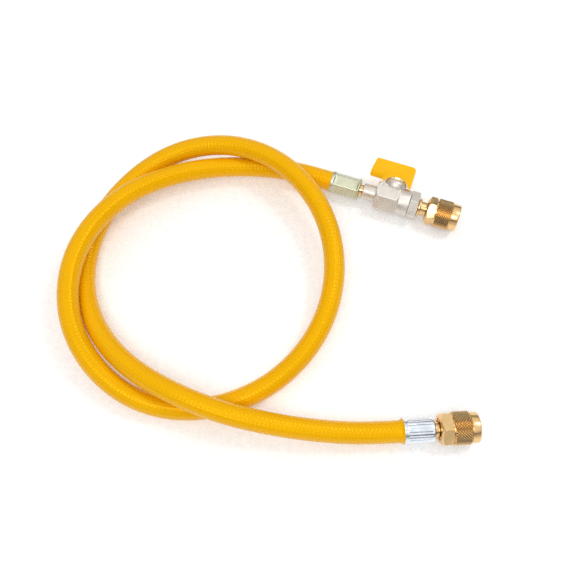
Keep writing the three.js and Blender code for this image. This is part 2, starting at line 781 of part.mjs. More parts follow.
const valveEnd = fitting(valvePlace, [
  piece("ferrule_valve_end", valveFerrule(), zinc),
  piece("hose_tail_valve_end", valveTail(), brass),
  piece("valve_body", valveBody(), nickel),
  piece("valve_seat_hose_side", valveSeat(-1), white),
  piece("valve_seat_nut_side", valveSeat(1), white),
  piece("valve_ball", valveBall(), nickel),
  piece("valve_stem", valveStem(), brass),
  piece("handle", handle(), handleYellow),
  piece("valve_end_cap", valveEndCap(), nickel),
  piece("swivel_stem_valve_end", swivelStem(), brass),
  piece("swivel_nut_valve_end", swivelNut(valveNut), brass),
  piece("gasket_valve_end", gasket(valveNut), rubber),
  piece("core_depressor", coreDepressor(), brass),
]);

const freeEnd = fitting(freePlace, [
  piece("ferrule_free_end", freeFerrule(), brightPlate),
  piece(
    "hose_tail_free_end",
    hoseTail(FREE_FERRULE_LENGTH, NECK_DIAMETER / 2, swivelHead(freeNut)),
    brass,
  ),
  piece("swivel_nut_free_end", swivelNut(freeNut), brass),
  piece("gasket_free_end", gasket(freeNut), rubber),
]);

const group = new THREE.Group();
group.add(piece("hose", hose(), hoseYellow), valveEnd, freeEnd);

export default group;
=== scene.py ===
import json
import math

import bmesh
import bpy
from bpy.props import FloatProperty, FloatVectorProperty, IntProperty, PointerProperty
from mathutils import Matrix, Vector

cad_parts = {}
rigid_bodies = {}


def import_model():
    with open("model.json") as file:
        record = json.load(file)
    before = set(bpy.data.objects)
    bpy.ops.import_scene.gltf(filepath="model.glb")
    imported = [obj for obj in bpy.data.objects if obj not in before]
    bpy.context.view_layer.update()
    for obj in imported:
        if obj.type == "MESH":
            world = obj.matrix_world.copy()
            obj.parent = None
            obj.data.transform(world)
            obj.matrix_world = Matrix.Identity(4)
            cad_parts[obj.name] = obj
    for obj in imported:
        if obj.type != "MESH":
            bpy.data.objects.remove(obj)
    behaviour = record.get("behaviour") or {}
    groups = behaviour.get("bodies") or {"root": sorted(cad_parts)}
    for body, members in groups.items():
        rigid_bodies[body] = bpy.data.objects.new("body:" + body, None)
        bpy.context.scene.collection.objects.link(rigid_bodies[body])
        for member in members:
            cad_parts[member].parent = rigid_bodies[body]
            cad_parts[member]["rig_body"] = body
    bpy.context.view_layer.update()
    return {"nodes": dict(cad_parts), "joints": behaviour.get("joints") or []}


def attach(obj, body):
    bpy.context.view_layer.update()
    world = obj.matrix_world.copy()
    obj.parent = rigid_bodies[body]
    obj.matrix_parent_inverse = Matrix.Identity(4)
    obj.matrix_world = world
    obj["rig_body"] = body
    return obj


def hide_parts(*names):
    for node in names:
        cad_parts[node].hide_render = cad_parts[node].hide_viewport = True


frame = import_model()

bl_info = {
    "name": "Refrigerant charging hose",
    "version": (1, 0, 0),
    "blender": (4, 5, 0),
    "location": "3D View > Sidebar > Charging hose",
    "description": "Dresses a charging hose with its fittings, ball valve and swivel nuts",
    "category": "Add Mesh",
}

JOINTS = {joint["name"]: joint for joint in frame["joints"]}

# Pieces are made on the bench in millimetres, with X along their fitting's axis and the
# middle of the ferrule's mouth at the origin, and are then placed in the frame in metres.
MM = 0.001
ROUND_SIDES = 96
OVERSHOOT = 1.0  # how far a cutter runs past the face that it cuts
CLEARANCE = 0.3
LYING = Matrix.Rotation(math.radians(90), 4, "Y")  # lays what stands along Z along X
UPRIGHT = Matrix.Rotation(math.radians(-90), 4, "Y")  # stands what lies along X along Z

# Stations along the valve end's axis
VALVE_FERRULE_END = 17.7
TUBE_START = 19.6
BODY_START = 27.3
STEM_STATION = 36.9
ROUND_START = 41.3
BODY_END = 47.5
CAP_END = 52.8
COLLAR_END = 54.6
VALVE_NUT_START = 58.2
VALVE_SPIN_STATION = 67.0  # where the valve nut's joint is stated
CAVITY_HALF = 6.69  # from the stem to either end of the hollow for the ball and seats

# Heights along the stem, from the valve's own axis
TANG_TOP = 5.3
DRIVE_START = 11.2

# Stations along the free end's axis
FREE_FERRULE_END = 16.0
FREE_NUT_START = 18.5
FREE_SPIN_STATION = 28.5

# The hose's route between its straight ends, as the control points of a spline, in metres
HOSE_ROUTE = [
    (-0.082, 0.082, 0.0095),
    (-0.107, 0.08, 0.012),
    (-0.1305, 0.073, 0.015),
    (-0.152, 0.0615, 0.018),
    (-0.1685, 0.0445, 0.02),
    (-0.1795, 0.0235, 0.0205),
    (-0.183, 0.0005, 0.019),
    (-0.1785, -0.0225, 0.0165),
    (-0.1665, -0.042, 0.0125),
    (-0.149, -0.0565, 0.009),
    (-0.1275, -0.064, 0.0065),
    (-0.104, -0.064, 0.006),
    (-0.081, -0.0565, 0.006),
    (-0.061, -0.043, 0.008),
    (-0.046, -0.024, 0.0105),
    (-0.0375, -0.002, 0.014),
    (-0.036, 0.0215, 0.017),
    (-0.0415, 0.0445, 0.02),
    (-0.0535, 0.065, 0.0215),
    (-0.0705, 0.0805, 0.022),
    (-0.0915, 0.09, 0.0205),
    (-0.114, 0.0915, 0.018),
    (-0.136, 0.0855, 0.0145),
    (-0.155, 0.072, 0.0105),
    (-0.1695, 0.0535, 0.008),
    (-0.177, 0.0315, 0.0065),
    (-0.178, 0.0085, 0.007),
    (-0.171, -0.0135, 0.0095),
    (-0.158, -0.0325, 0.013),
    (-0.1405, -0.0475, 0.0165),
    (-0.1195, -0.059, 0.0185),
    (-0.0975, -0.0675, 0.018),
    (-0.0745, -0.0725, 0.015),
    (-0.051, -0.0755, 0.0115),
]


def fitting_frame(joint_name, station):
    """A fitting's own frame: its axis along X, its origin in the middle of its mouth."""
    joint = JOINTS[joint_name]
    axis = Vector(joint["axis"])
    up = Vector((0, 0, 1))
    turn = Matrix((axis, up.cross(axis), up)).transposed().to_4x4()
    mouth = Vector(joint["pos_m"]) - axis * station * MM
    return Matrix.Translation(mouth) @ turn @ Matrix.Scale(MM, 4)


def stem_frame():
    """The valve stem's frame: Z along the stem, X along the valve's own axis."""
    joint = JOINTS["handle_turn"]
    stem = Vector(joint["axis"])
    along = Vector(JOINTS["valve_nut_spin"]["axis"])
    turn = Matrix((along, stem.cross(along), stem)).transposed().to_4x4()
    return Matrix.Translation(joint["pos_m"]) @ turn @ Matrix.Scale(MM, 4)


VALVE_END = fitting_frame("valve_nut_spin", VALVE_SPIN_STATION)
FREE_END = fitting_frame("free_nut_spin", FREE_SPIN_STATION)
STEM = stem_frame()
STEM_ON_BENCH = VALVE_END.inverted() @ STEM


class HoseSettings(bpy.types.PropertyGroup):
    diameter: FloatProperty(
        name="Hose diameter",
        description="Over the yellow cover",
        default=0.0115,
        unit="LENGTH",
    )
    straight: FloatProperty(
        name="Straight ends",
        description="Hose that runs straight out of each ferrule",
        default=0.023,
        unit="LENGTH",
    )
    swell_diameter: FloatProperty(
        name="Swell diameter",
        description="Where the cover is squeezed out in front of the free end's ferrule",
        default=0.0138,
        unit="LENGTH",
    )
    braids: IntProperty(
        name="Braid strands",
        description="Strands of the braid that show faintly through the cover, round it",
        default=24,
    )


class FittingSettings(bpy.types.PropertyGroup):
    ferrule_diameter: FloatProperty(
        name="Ferrule diameter",
        description="Over the round parts of both ferrules",
        default=0.0126,
        unit="LENGTH",
    )
    crimp_flats: FloatProperty(
        name="Crimp across flats",
        description="Across the crimped flats of the valve end's ferrule",
        default=0.011,
        unit="LENGTH",
    )
    body_flats: FloatProperty(
        name="Valve body across flats",
        description="Across the hexagon of the valve's forged body",
        default=0.016,
        unit="LENGTH",
    )
    cap_flats: FloatProperty(
        name="Cap across flats",
        description="Across the hexagon of the cap that closes the body",
        default=0.0145,
        unit="LENGTH",
    )
    handle_thickness: FloatProperty(
        name="Handle thickness",
        description="Of the handle's blade",
        default=0.0045,
        unit="LENGTH",
    )
    knurl_diamonds: IntProperty(
        name="Knurl diamonds",
        description="Diamonds round each swivel nut's knurl",
        default=36,
    )
    knurl_depth: FloatProperty(
        name="Knurl depth",
        description="From the tips of the knurl to its valleys",
        default=0.0005,
        unit="LENGTH",
    )


def colour(name, description, default):
    return FloatVectorProperty(
        name=name,
        description=description,
        default=default,
        subtype="COLOR",
        min=0,
        max=1,
    )


class FinishSettings(bpy.types.PropertyGroup):
    hose_yellow: colour("Hose cover", "Yellow rubber", (0.87, 0.43, 0.001))
    handle_yellow: colour("Handle", "Moulded yellow plastic", (0.97, 0.5, 0.003))
    brass: colour("Brass", "Turned brass of the nuts and necks", (0.86, 0.58, 0.27))
    nickel: colour("Nickel", "Plate on the forged body and its cap", (0.74, 0.7, 0.64))
    zinc: colour("Zinc", "Warm plate on the valve end's ferrule", (0.62, 0.63, 0.47))
    bright_plate: colour("Bright plate", "On the free end's ferrule", (0.82, 0.88, 0.94))


class StageSettings(bpy.types.PropertyGroup):
    floor_white: FloatProperty(
        name="Floor white",
        description="How pale the floor is",
        default=0.88,
        min=0,
        max=1,
        subtype="FACTOR",
    )
    key_power: FloatProperty(
        name="Key light",
        description="Power of the large soft light over the part",
        default=2.4,
        unit="POWER",
    )


def deselect():
    bpy.ops.object.select_all(action="DESELECT")


def pick(piece):
    deselect()
    piece.select_set(True)
    bpy.context.view_layer.objects.active = piece


def edit(piece, mode="VERT"):
    """Edit mode on one piece, with nothing selected in it."""
    pick(piece)
    bpy.ops.object.mode_set(mode="EDIT")
    bpy.ops.mesh.select_mode(type=mode)
    bpy.ops.mesh.select_all(action="DESELECT")


def leave_edit():
    bpy.ops.object.mode_set(mode="OBJECT")


def select_vertices(piece, wanted):
    """Select the vertices of a piece in edit mode whose place passes the test."""
    shape = bmesh.from_edit_mesh(piece.data)
    for vertex in shape.verts:
        vertex.select_set(wanted(vertex.co))
    shape.select_flush_mode()
    bmesh.update_edit_mesh(piece.data)


def softened(points, steps=4):
    """An outline whose points' third numbers, where given, are rounded off as arcs."""
    outline = []
    for index, point in enumerate(points):
        corner = Vector(point[:2])
        if len(point) < 3:
            outline.append(tuple(corner))
            continue
        before = Vector(points[index - 1][:2]) - corner
        after = Vector(points[(index + 1) % len(points)][:2]) - corner
        half = before.angle(after) / 2
        longest = 0.48 * min(before.length, after.length)
        reach = min(point[2] / math.tan(half), longest)
        radius = reach * math.tan(half)
        start = corner + before.normalized() * reach
        end = corner + after.normalized() * reach
        bisector = (before.normalized() + after.normalized()).normalized()
        centre = corner + bisector * radius / math.sin(half)
        for step in range(steps + 1):
            spoke = (start - centre).slerp(end - centre, step / steps)
            outline.append(tuple(centre + spoke.normalized() * radius))
    return outline


def turned(name, outline, sides=ROUND_SIDES, hollow=False):
    """A piece turned round X from (place, radius) points; a hollow one closes on itself."""
    (place, radius), *rest = outline
    deselect()
    bpy.ops.mesh.primitive_circle_add(vertices=sides, radius=radius)
    piece = bpy.context.active_object
    piece.name = name
    piece.data.name = name
    piece.data.transform(Matrix.Translation((place, 0, 0)) @ LYING)
    bpy.ops.object.mode_set(mode="EDIT")
    bpy.ops.mesh.select_mode(type="VERT")
    bpy.ops.mesh.select_all(action="SELECT")
    if not hollow:
        bpy.ops.mesh.edge_face_add()
    for next_place, next_radius in rest:
        shift = {"value": (next_place - place, 0, 0)}
        bpy.ops.mesh.extrude_region_move(TRANSFORM_OT_translate=shift)
        size = next_radius / radius
        bpy.ops.transform.resize(value=(1, size, size), center_override=(0, 0, 0))
        place, radius = next_place, next_radius
    bpy.ops.mesh.select_all(action="SELECT")
    if hollow:
        bpy.ops.mesh.remove_doubles(threshold=0.001)
    bpy.ops.mesh.normals_make_consistent(inside=False)
    leave_edit()
    return piece


def ring(name, outer, bore, sides=ROUND_SIDES):
    """A turned piece with a straight bore: its outer points, closed along the bore."""
    start = (outer[0][0], bore)
    end = (outer[-1][0], bore)
    return turned(name, [start, *outer, end, start], sides, hollow=True)


def hexagonal(name, across, start, end, turn, edge=0.15):
    """A hexagonal bar along X, a corner turned by some degrees from +Y towards +Z."""
    deselect()
    bpy.ops.mesh.primitive_cylinder_add(
        vertices=6, radius=across / math.sqrt(3), depth=end - start
    )
    piece = bpy.context.active_object
    piece.name = name
    roll = Matrix.Rotation(math.radians(turn), 4, "X")
    piece.data.transform(Matrix.Translation(((start + end) / 2, 0, 0)) @ roll @ LYING)
    edit(piece, "EDGE")
    shape = bmesh.from_edit_mesh(piece.data)
    for side in shape.edges:
        run = side.verts[1].co - side.verts[0].co
        side.select_set(abs(run.x) > (end - start) / 2)
    bmesh.update_edit_mesh(piece.data)
    bpy.ops.mesh.bevel(offset=edge, segments=2, affect="EDGES")
    leave_edit()
    return piece


def carve(piece, tool, operation):
    """Join (UNION), cut (DIFFERENCE) or trim (INTERSECT) a piece with a tool, used up."""
    cut = piece.modifiers.new("carve", "BOOLEAN")
    cut.object = tool
    cut.operation = operation
    cut.solver = "EXACT"
    pick(piece)
    bpy.ops.object.modifier_apply(modifier=cut.name)
    bpy.data.objects.remove(tool)
    return piece


def reshape(piece, radius_at):
    """Move each vertex straight in or out to the radius that its place and angle give."""
    for vertex in piece.data.vertices:
        x, y, z = vertex.co
        radius = math.hypot(y, z)
        wanted = radius_at(x, math.atan2(z, y), radius)
        vertex.co = (x, y * wanted / radius, z * wanted / radius)


def settle(piece, place, finish, slot, *nodes, smooth=30):
    """Place a bench piece in the frame, dress it, and let it stand for its CAD nodes."""
    piece.data.transform(place)
    piece.data.materials.clear()
    piece.data.materials.append(finish)
    pick(piece)
    bpy.ops.object.shade_smooth_by_angle(angle=math.radians(smooth))
    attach(piece, frame["nodes"][nodes[0]]["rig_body"])
    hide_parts(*nodes)
    return piece


def ease(value):
    """A smooth step from 0 to 1."""
    value = min(max(value, 0), 1)
    return value * value * (3 - 2 * value)


# A Mix node's colour sockets, by number: its number sockets have the same names
COLOUR_A, COLOUR_B, COLOUR_RESULT = 6, 7, 2

# Nearly all of a noise texture's values lie between these
NOISE_LOW, NOISE_HIGH = 0.3, 0.7


def node_group(name, inputs, outputs):
    """A new shader node group with named sockets, and its input and output nodes."""
    group = bpy.data.node_groups.new(name, "ShaderNodeTree")
    for socket, kind, value in inputs:
        made = group.interface.new_socket(name=socket, in_out="INPUT", socket_type=kind)
        if value is not None:
            made.default_value = value
    for socket, kind in outputs:
        group.interface.new_socket(name=socket, in_out="OUTPUT", socket_type=kind)
    start = group.nodes.new("NodeGroupInput")
    end = group.nodes.new("NodeGroupOutput")
    return group, start, end


def feed(tree, made, links):
    """Link or set a node's input sockets, by name or number."""
    for socket, value in links.items():
        if isinstance(value, bpy.types.NodeSocket):
            tree.links.new(value, made.inputs[socket])
        else:
            made.inputs[socket].default_value = value
    return made


def node(tree, kind, links=(), **settings):
    """A node with its settings, and its input sockets linked or set."""
    made = tree.nodes.new(kind)
    for name, value in settings.items():
        setattr(made, name, value)
    return feed(tree, made, dict(links))


def grain_group():
    """Fine uneven grain: a height, and a mask of larger soft patches."""
    group, start, end = node_group(
        "surface_grain",
        [
            ("Vector", "NodeSocketVector", None),
            ("Grain Scale", "NodeSocketFloat", 2000.0),
            ("Patch Scale", "NodeSocketFloat", 60.0),
        ],
        [("Height", "NodeSocketFloat"), ("Patches", "NodeSocketFloat")],
    )
    vector = start.outputs["Vector"]
    grain = node(
        group,
        "ShaderNodeTexNoise",
        {"Vector": vector, "Scale": start.outputs["Grain Scale"], "Detail": 3.0},
    )
    patches = node(
        group,
        "ShaderNodeTexNoise",
        {"Vector": vector, "Scale": start.outputs["Patch Scale"], "Detail": 4.0},
    )
    group.links.new(grain.outputs["Fac"], end.inputs["Height"])
    group.links.new(patches.outputs["Fac"], end.inputs["Patches"])
    return group


def turning_group():
    """Fine rings that a lathe leaves: they change along X only, but for a slow waver."""
    group, start, end = node_group(
        "turning_marks",
        [
            ("Vector", "NodeSocketVector", None),
            ("Rings Per Metre", "NodeSocketFloat", 6000.0),
            ("Waver", "NodeSocketFloat", 60.0),
        ],
        [("Height", "NodeSocketFloat")],
    )
    spread = node(
        group,
        "ShaderNodeCombineXYZ",
        {
            "X": start.outputs["Rings Per Metre"],
            "Y": start.outputs["Waver"],
            "Z": start.outputs["Waver"],
        },
    )
    stretched = node(
        group,
        "ShaderNodeVectorMath",
        {0: start.outputs["Vector"], 1: spread.outputs[0]},
        operation="MULTIPLY",
    )
    rings = node(
        group,
        "ShaderNodeTexNoise",
        {"Vector": stretched.outputs[0], "Scale": 1.0, "Detail": 2.0},
    )
    group.links.new(rings.outputs["Fac"], end.inputs["Height"])
    return group


def tint_group():
    """A colour that drifts between a dark and a light one over a mask."""
    group, start, end = node_group(
        "tint_drift",
        [
            ("Mask", "NodeSocketFloat", 0.5),
            ("Dark", "NodeSocketColor", (0, 0, 0, 1)),
            ("Light", "NodeSocketColor", (1, 1, 1, 1)),
        ],
        [("Color", "NodeSocketColor")],
    )
    spread = node(
        group,
        "ShaderNodeMapRange",
        {"Value": start.outputs["Mask"], "From Min": NOISE_LOW, "From Max": NOISE_HIGH},
    )
    mixed = node(
        group,
        "ShaderNodeMix",
        {
            "Factor": spread.outputs["Result"],
            COLOUR_A: start.outputs["Dark"],
            COLOUR_B: start.outputs["Light"],
        },
        data_type="RGBA",
    )
    group.links.new(mixed.outputs[COLOUR_RESULT], end.inputs["Color"])
    return group


def group_node(tree, name, make, links):
    """A shared node group placed in a tree, made the first time that it is asked for."""
    placed = tree.nodes.new("ShaderNodeGroup")
    placed.node_tree = bpy.data.node_groups.get(name) or make()
    return feed(tree, placed, links)


def opaque(rgb, strength=1.0):
    return (*(channel * strength for channel in rgb), 1.0)


class Finish:
    """A material under way: its tree, its Principled shader and its aligned place."""

    def __init__(self, name, roughness, metallic=0.0, heading=0.0):
        self.material = bpy.data.materials.new(f"{name}_finish")
        self.material.use_nodes = True
        self.tree = self.material.node_tree
        self.shader = self.tree.nodes["Principled BSDF"]
        self.shader.inputs["Roughness"].default_value = roughness
        self.shader.inputs["Metallic"].default_value = metallic
        place = self.tree.nodes.new("ShaderNodeTexCoord")
        aligned = node(
            self.tree,
            "ShaderNodeMapping",
            {"Vector": place.outputs["Object"], "Rotation": (0, 0, -heading)},
        )
        self.place = aligned.outputs["Vector"]

    def grain(self, grain_scale, patch_scale):
        links = {"Vector": self.place, "Grain Scale": grain_scale, "Patch Scale": patch_scale}
        return group_node(self.tree, "surface_grain", grain_group, links)

    def turning(self, rings, waver=60.0):
        links = {"Vector": self.place, "Rings Per Metre": rings, "Waver": waver}
        placed = group_node(self.tree, "turning_marks", turning_group, links)
        return placed.outputs["Height"]

    def tint(self, mask, dark, light):
        links = {"Mask": mask, "Dark": dark, "Light": light}
        placed = group_node(self.tree, "tint_drift", tint_group, links)
        self.tree.links.new(placed.outputs["Color"], self.shader.inputs["Base Color"])

    def paint_valley_shade(self, dark):
        """Painted shade: darken the base colour by the attribute "valley", as between
        diamonds.
        """
        colour = self.shader.inputs["Base Color"]
        valley = node(self.tree, "ShaderNodeAttribute", attribute_name="valley")
        links = {
            "Factor": valley.outputs["Fac"],
            COLOUR_A: colour.links[0].from_socket,
            COLOUR_B: dark,
        }
        mixed = node(self.tree, "ShaderNodeMix", links, data_type="RGBA")
        self.tree.links.new(mixed.outputs[COLOUR_RESULT], colour)

    def roughness_from(self, mask, low, high):
        spread = node(
            self.tree,
            "ShaderNodeMapRange",
            {
                "Value": mask,
                "From Min": NOISE_LOW,
                "From Max": NOISE_HIGH,
                "To Min": low,
                "To Max": high,
            },
        )
        self.tree.links.new(spread.outputs["Result"], self.shader.inputs["Roughness"])

    def relief(self, height, distance, strength=1.0, under=None):
        """Bump of a height, in metres, over another bump's normal if one is given."""
        links = {"Height": height, "Distance": distance, "Strength": strength}
        if under is not None:
            links["Normal"] = under
        bump = node(self.tree, "ShaderNodeBump", links)
        normal = bump.outputs["Normal"]
        for link in list(self.shader.inputs["Normal"].links):
            self.tree.links.remove(link)
        self.tree.links.new(normal, self.shader.inputs["Normal"])
        return normal


def heading_of(joint_name):
    axis = JOINTS[joint_name]["axis"]
    return math.atan2(axis[1], axis[0])


def hose_finish(rgb, braids):
    """Semi-gloss yellow rubber, with the braid's weave faint through it and a fine grain."""
    finish = Finish("hose_rubber", 0.42)
    tree = finish.tree
    grain = finish.grain(1500.0, 45.0)
    finish.tint(grain.outputs["Patches"], opaque(rgb, 0.96), opaque(rgb, 1.0))
    finish.roughness_from(grain.outputs["Patches"], 0.2, 0.28)
    weave = tree.nodes.new("ShaderNodeUVMap")
    weave.uv_map = "weave"
    parts = node(tree, "ShaderNodeSeparateXYZ", {"Vector": weave.outputs["UV"]})
    strand_pitch = 0.0042
    along = node(
        tree,
        "ShaderNodeMath",
        {0: parts.outputs["X"], 1: 2 * math.pi / strand_pitch},
        operation="MULTIPLY",
    )
    waves = []
    for side in (1, -1):
        around = node(
            tree,
            "ShaderNodeMath",
            {0: parts.outputs["Y"], 1: side * 2 * math.pi * braids / 2, 2: along.outputs[0]},
            operation="MULTIPLY_ADD",
        )
        waves.append(
            node(tree, "ShaderNodeMath", {0: around.outputs[0]}, operation="SINE")
        )
    crossed = node(
        tree,
        "ShaderNodeMath",
        {0: waves[0].outputs[0], 1: waves[1].outputs[0]},
        operation="MULTIPLY",
    )
    weave_normal = finish.relief(crossed.outputs[0], 0.00006)
    finish.relief(grain.outputs["Height"], 0.0001, under=weave_normal)
    finish.shader.inputs["Specular IOR Level"].default_value = 0.85
    finish.shader.inputs["Specular Tint"].default_value = (1.0, 0.7, 0.05, 1)
    return finish.material


def plastic_finish(rgb):
    """Smooth moulded plastic with a very fine texture."""
    finish = Finish("handle_plastic", 0.4)
    grain = finish.grain(3500.0, 120.0)
    finish.tint(grain.outputs["Patches"], opaque(rgb, 0.97), opaque(rgb, 1.0))
    finish.roughness_from(grain.outputs["Patches"], 0.36, 0.44)
    finish.relief(grain.outputs["Height"], 0.00002)
    finish.shader.inputs["Specular Tint"].default_value = (1.0, 0.8, 0.2, 1)
    return finish.material


def brass_finish(name, rgb, joint_name, roughness=0.2):
    """Bright brass with lathe rings along its fitting's axis."""
    finish = Finish(name, roughness, 1.0, heading_of(joint_name))
    grain = finish.grain(5000.0, 220.0)
    finish.tint(grain.outputs["Patches"], opaque(rgb, 0.9), opaque(rgb, 1.02))
    # Painted shade in the knurl's valleys: the brass at half brightness where they lie deep
    finish.paint_valley_shade(opaque(rgb, 0.5))
    finish.roughness_from(grain.outputs["Patches"], roughness - 0.04, roughness + 0.08)
    finish.relief(finish.turning(9000.0), 0.000012)
    return finish.material


def forged_finish(rgb):
    """Satin nickel plate over a forged, blasted surface."""
    finish = Finish("nickel_plate", 0.5, 1.0)
    grain = finish.grain(3200.0, 160.0)
    finish.tint(grain.outputs["Patches"], opaque(rgb, 0.9), opaque(rgb, 1.04))
    finish.roughness_from(grain.outputs["Patches"], 0.42, 0.56)
    finish.relief(grain.outputs["Height"], 0.00004)
    return finish.material


def plated_finish(name, rgb, joint_name, roughness, streaks):
    """Zinc plate with faint lengthwise streaks, as a crimping die leaves it."""
    finish = Finish(name, roughness, 1.0, heading_of(joint_name))
    grain = finish.grain(2600.0, 200.0)
    finish.tint(grain.outputs["Patches"], opaque(rgb, 0.9), opaque(rgb, 1.03))
    finish.roughness_from(grain.outputs["Patches"], roughness - 0.05, roughness + 0.08)
    finish.relief(finish.turning(90.0, streaks), 0.00006)
    return finish.material


def plain_finish(name, rgb, roughness, metallic=0.0, relief=0.00002):
    """A small or hidden piece's finish: one colour with a light grain."""
    finish = Finish(name, roughness, metallic)
    grain = finish.grain(3000.0, 300.0)
    finish.tint(grain.outputs["Patches"], opaque(rgb, 0.9), opaque(rgb, 1.0))
    finish.roughness_from(grain.outputs["Patches"], roughness - 0.05, roughness + 0.05)
    finish.relief(grain.outputs["Height"], relief)
    return finish.material


def made_once(name, make, *values):
    """A finish by name, made the first time that a piece needs it."""
    return bpy.data.materials.get(f"{name}_finish") or make(*values)


def brass(scene, joint_name):
    name = f"brass_{joint_name}"
    return made_once(name, brass_finish, name, scene.hose_finishes.brass, joint_name)


def nickel(scene):
    return made_once("nickel_plate", forged_finish, scene.hose_finishes.nickel)


def black_rubber():
    return made_once("gasket_rubber", plain_finish, "gasket_rubber", (0.02, 0.02, 0.02), 0.6)


class CameraOperator(bpy.types.Operator):
    """Place the camera at the photograph's viewing angle"""

    bl_idname = "charging_hose.camera"
    bl_label = "Camera"

    place = (-0.0642, -0.1353, 0.3572)
    tilt = math.radians(22)
    lens = 42.53

    def execute(self, context):
        deselect()
        bpy.ops.object.camera_add(location=self.place, rotation=(self.tilt, 0, 0))
        camera = context.active_object
        camera.name = "studio_camera"
        camera.data.sensor_width = 36
        camera.data.lens = self.lens
        camera.data.clip_start = 0.01
        context.scene.camera = camera
        return {"FINISHED"}


def hose_line(straight, into, steps):
    """Points along the middle of the hose, from inside one ferrule to inside the other."""

    def along(place, distance):
        return place @ Vector((distance, 0, 0))

    controls = [
        along(VALVE_END, into),
        along(VALVE_END, -CLEARANCE - straight),
        *(Vector(point) for point in HOSE_ROUTE),
        along(FREE_END, -CLEARANCE - straight),
        along(FREE_END, into),
    ]
    controls.insert(0, 2 * controls[0] - controls[1])
    controls.append(2 * controls[-1] - controls[-2])
    line = []
    for span in range(len(controls) - 3):
        a, b, c, d = controls[span : span + 4]
        for step in range(steps):
            u = step / steps
            near = (3 * u**3 - 6 * u**2 + 4) / 6
            far = (-3 * u**3 + 3 * u**2 + 3 * u + 1) / 6
            line.append((1 - u) ** 3 / 6 * a + near * b + far * c + u**3 / 6 * d)
    line.append(controls[-2].copy())
    return line


class HoseOperator(bpy.types.Operator):
    """Sweep the yellow cover along the hose's route"""

    bl_idname = "charging_hose.hose_cover"
    bl_label = "Hose cover"

    sides = 48
    into_ferrule = 0.8

    def execute(self, context):
        sizes = context.scene.hose_sizes
        line = hose_line(sizes.straight / MM, self.into_ferrule, 26)
        lengths = [0.0]
        for before, after in zip(line, line[1:]):
            lengths.append(lengths[-1] + (after - before).length)
        whole = lengths[-1]
        swell = sizes.swell_diameter / 2
        radius = sizes.diameter / 2
        swell_length = 0.0026
        mouth = whole - self.into_ferrule * MM

        def radius_at(length):
            """The cover's radius: plain, but squeezed out in front of the free ferrule."""
            before_mouth = mouth - length
            if before_mouth > swell_length:
                return radius
            if before_mouth < 0.0001:
                return radius
            rise = 1 - before_mouth / swell_length
            return radius + (swell - radius) * rise**2.2

        shape = bmesh.new()
        loops = []
        normal = Vector((0, 0, 1))
        for index, point in enumerate(line):
            ahead = line[min(index + 1, len(line) - 1)] - line[max(index - 1, 0)]
            tangent = ahead.normalized()
            normal = (normal - tangent * normal.dot(tangent)).normalized()
            side = tangent.cross(normal)
            reach = radius_at(lengths[index])
            loop = []
            for turn in range(self.sides):
                angle = 2 * math.pi * turn / self.sides
                spoke = normal * math.cos(angle) + side * math.sin(angle)
                loop.append(shape.verts.new(point + spoke * reach))
            loops.append(loop)
        weave = shape.loops.layers.uv.new("weave")
        for row in range(len(loops) - 1):
            for turn in range(self.sides):
                other = (turn + 1) % self.sides
                corners = (
                    (row, turn, turn),
                    (row, other, turn + 1),
                    (row + 1, other, turn + 1),
                    (row + 1, turn, turn),
                )
                face = shape.faces.new([loops[r][t] for r, t, _ in corners])
                for loop, (r, _, t) in zip(face.loops, corners):
                    loop[weave].uv = (lengths[r], t / self.sides)
        shape.faces.new(reversed(loops[0]))
        shape.faces.new(loops[-1])
        shape.normal_update()
        mesh = bpy.data.meshes.new("hose_cover")
        shape.to_mesh(mesh)
        shape.free()
        cover = bpy.data.objects.new("hose_cover", mesh)
        context.collection.objects.link(cover)
        finish = made_once(
            "hose_rubber", hose_finish, context.scene.hose_finishes.hose_yellow, sizes.braids
        )
        settle(cover, Matrix.Identity(4), finish, "hose_rubber", "hose", smooth=50)
        return {"FINISHED"}


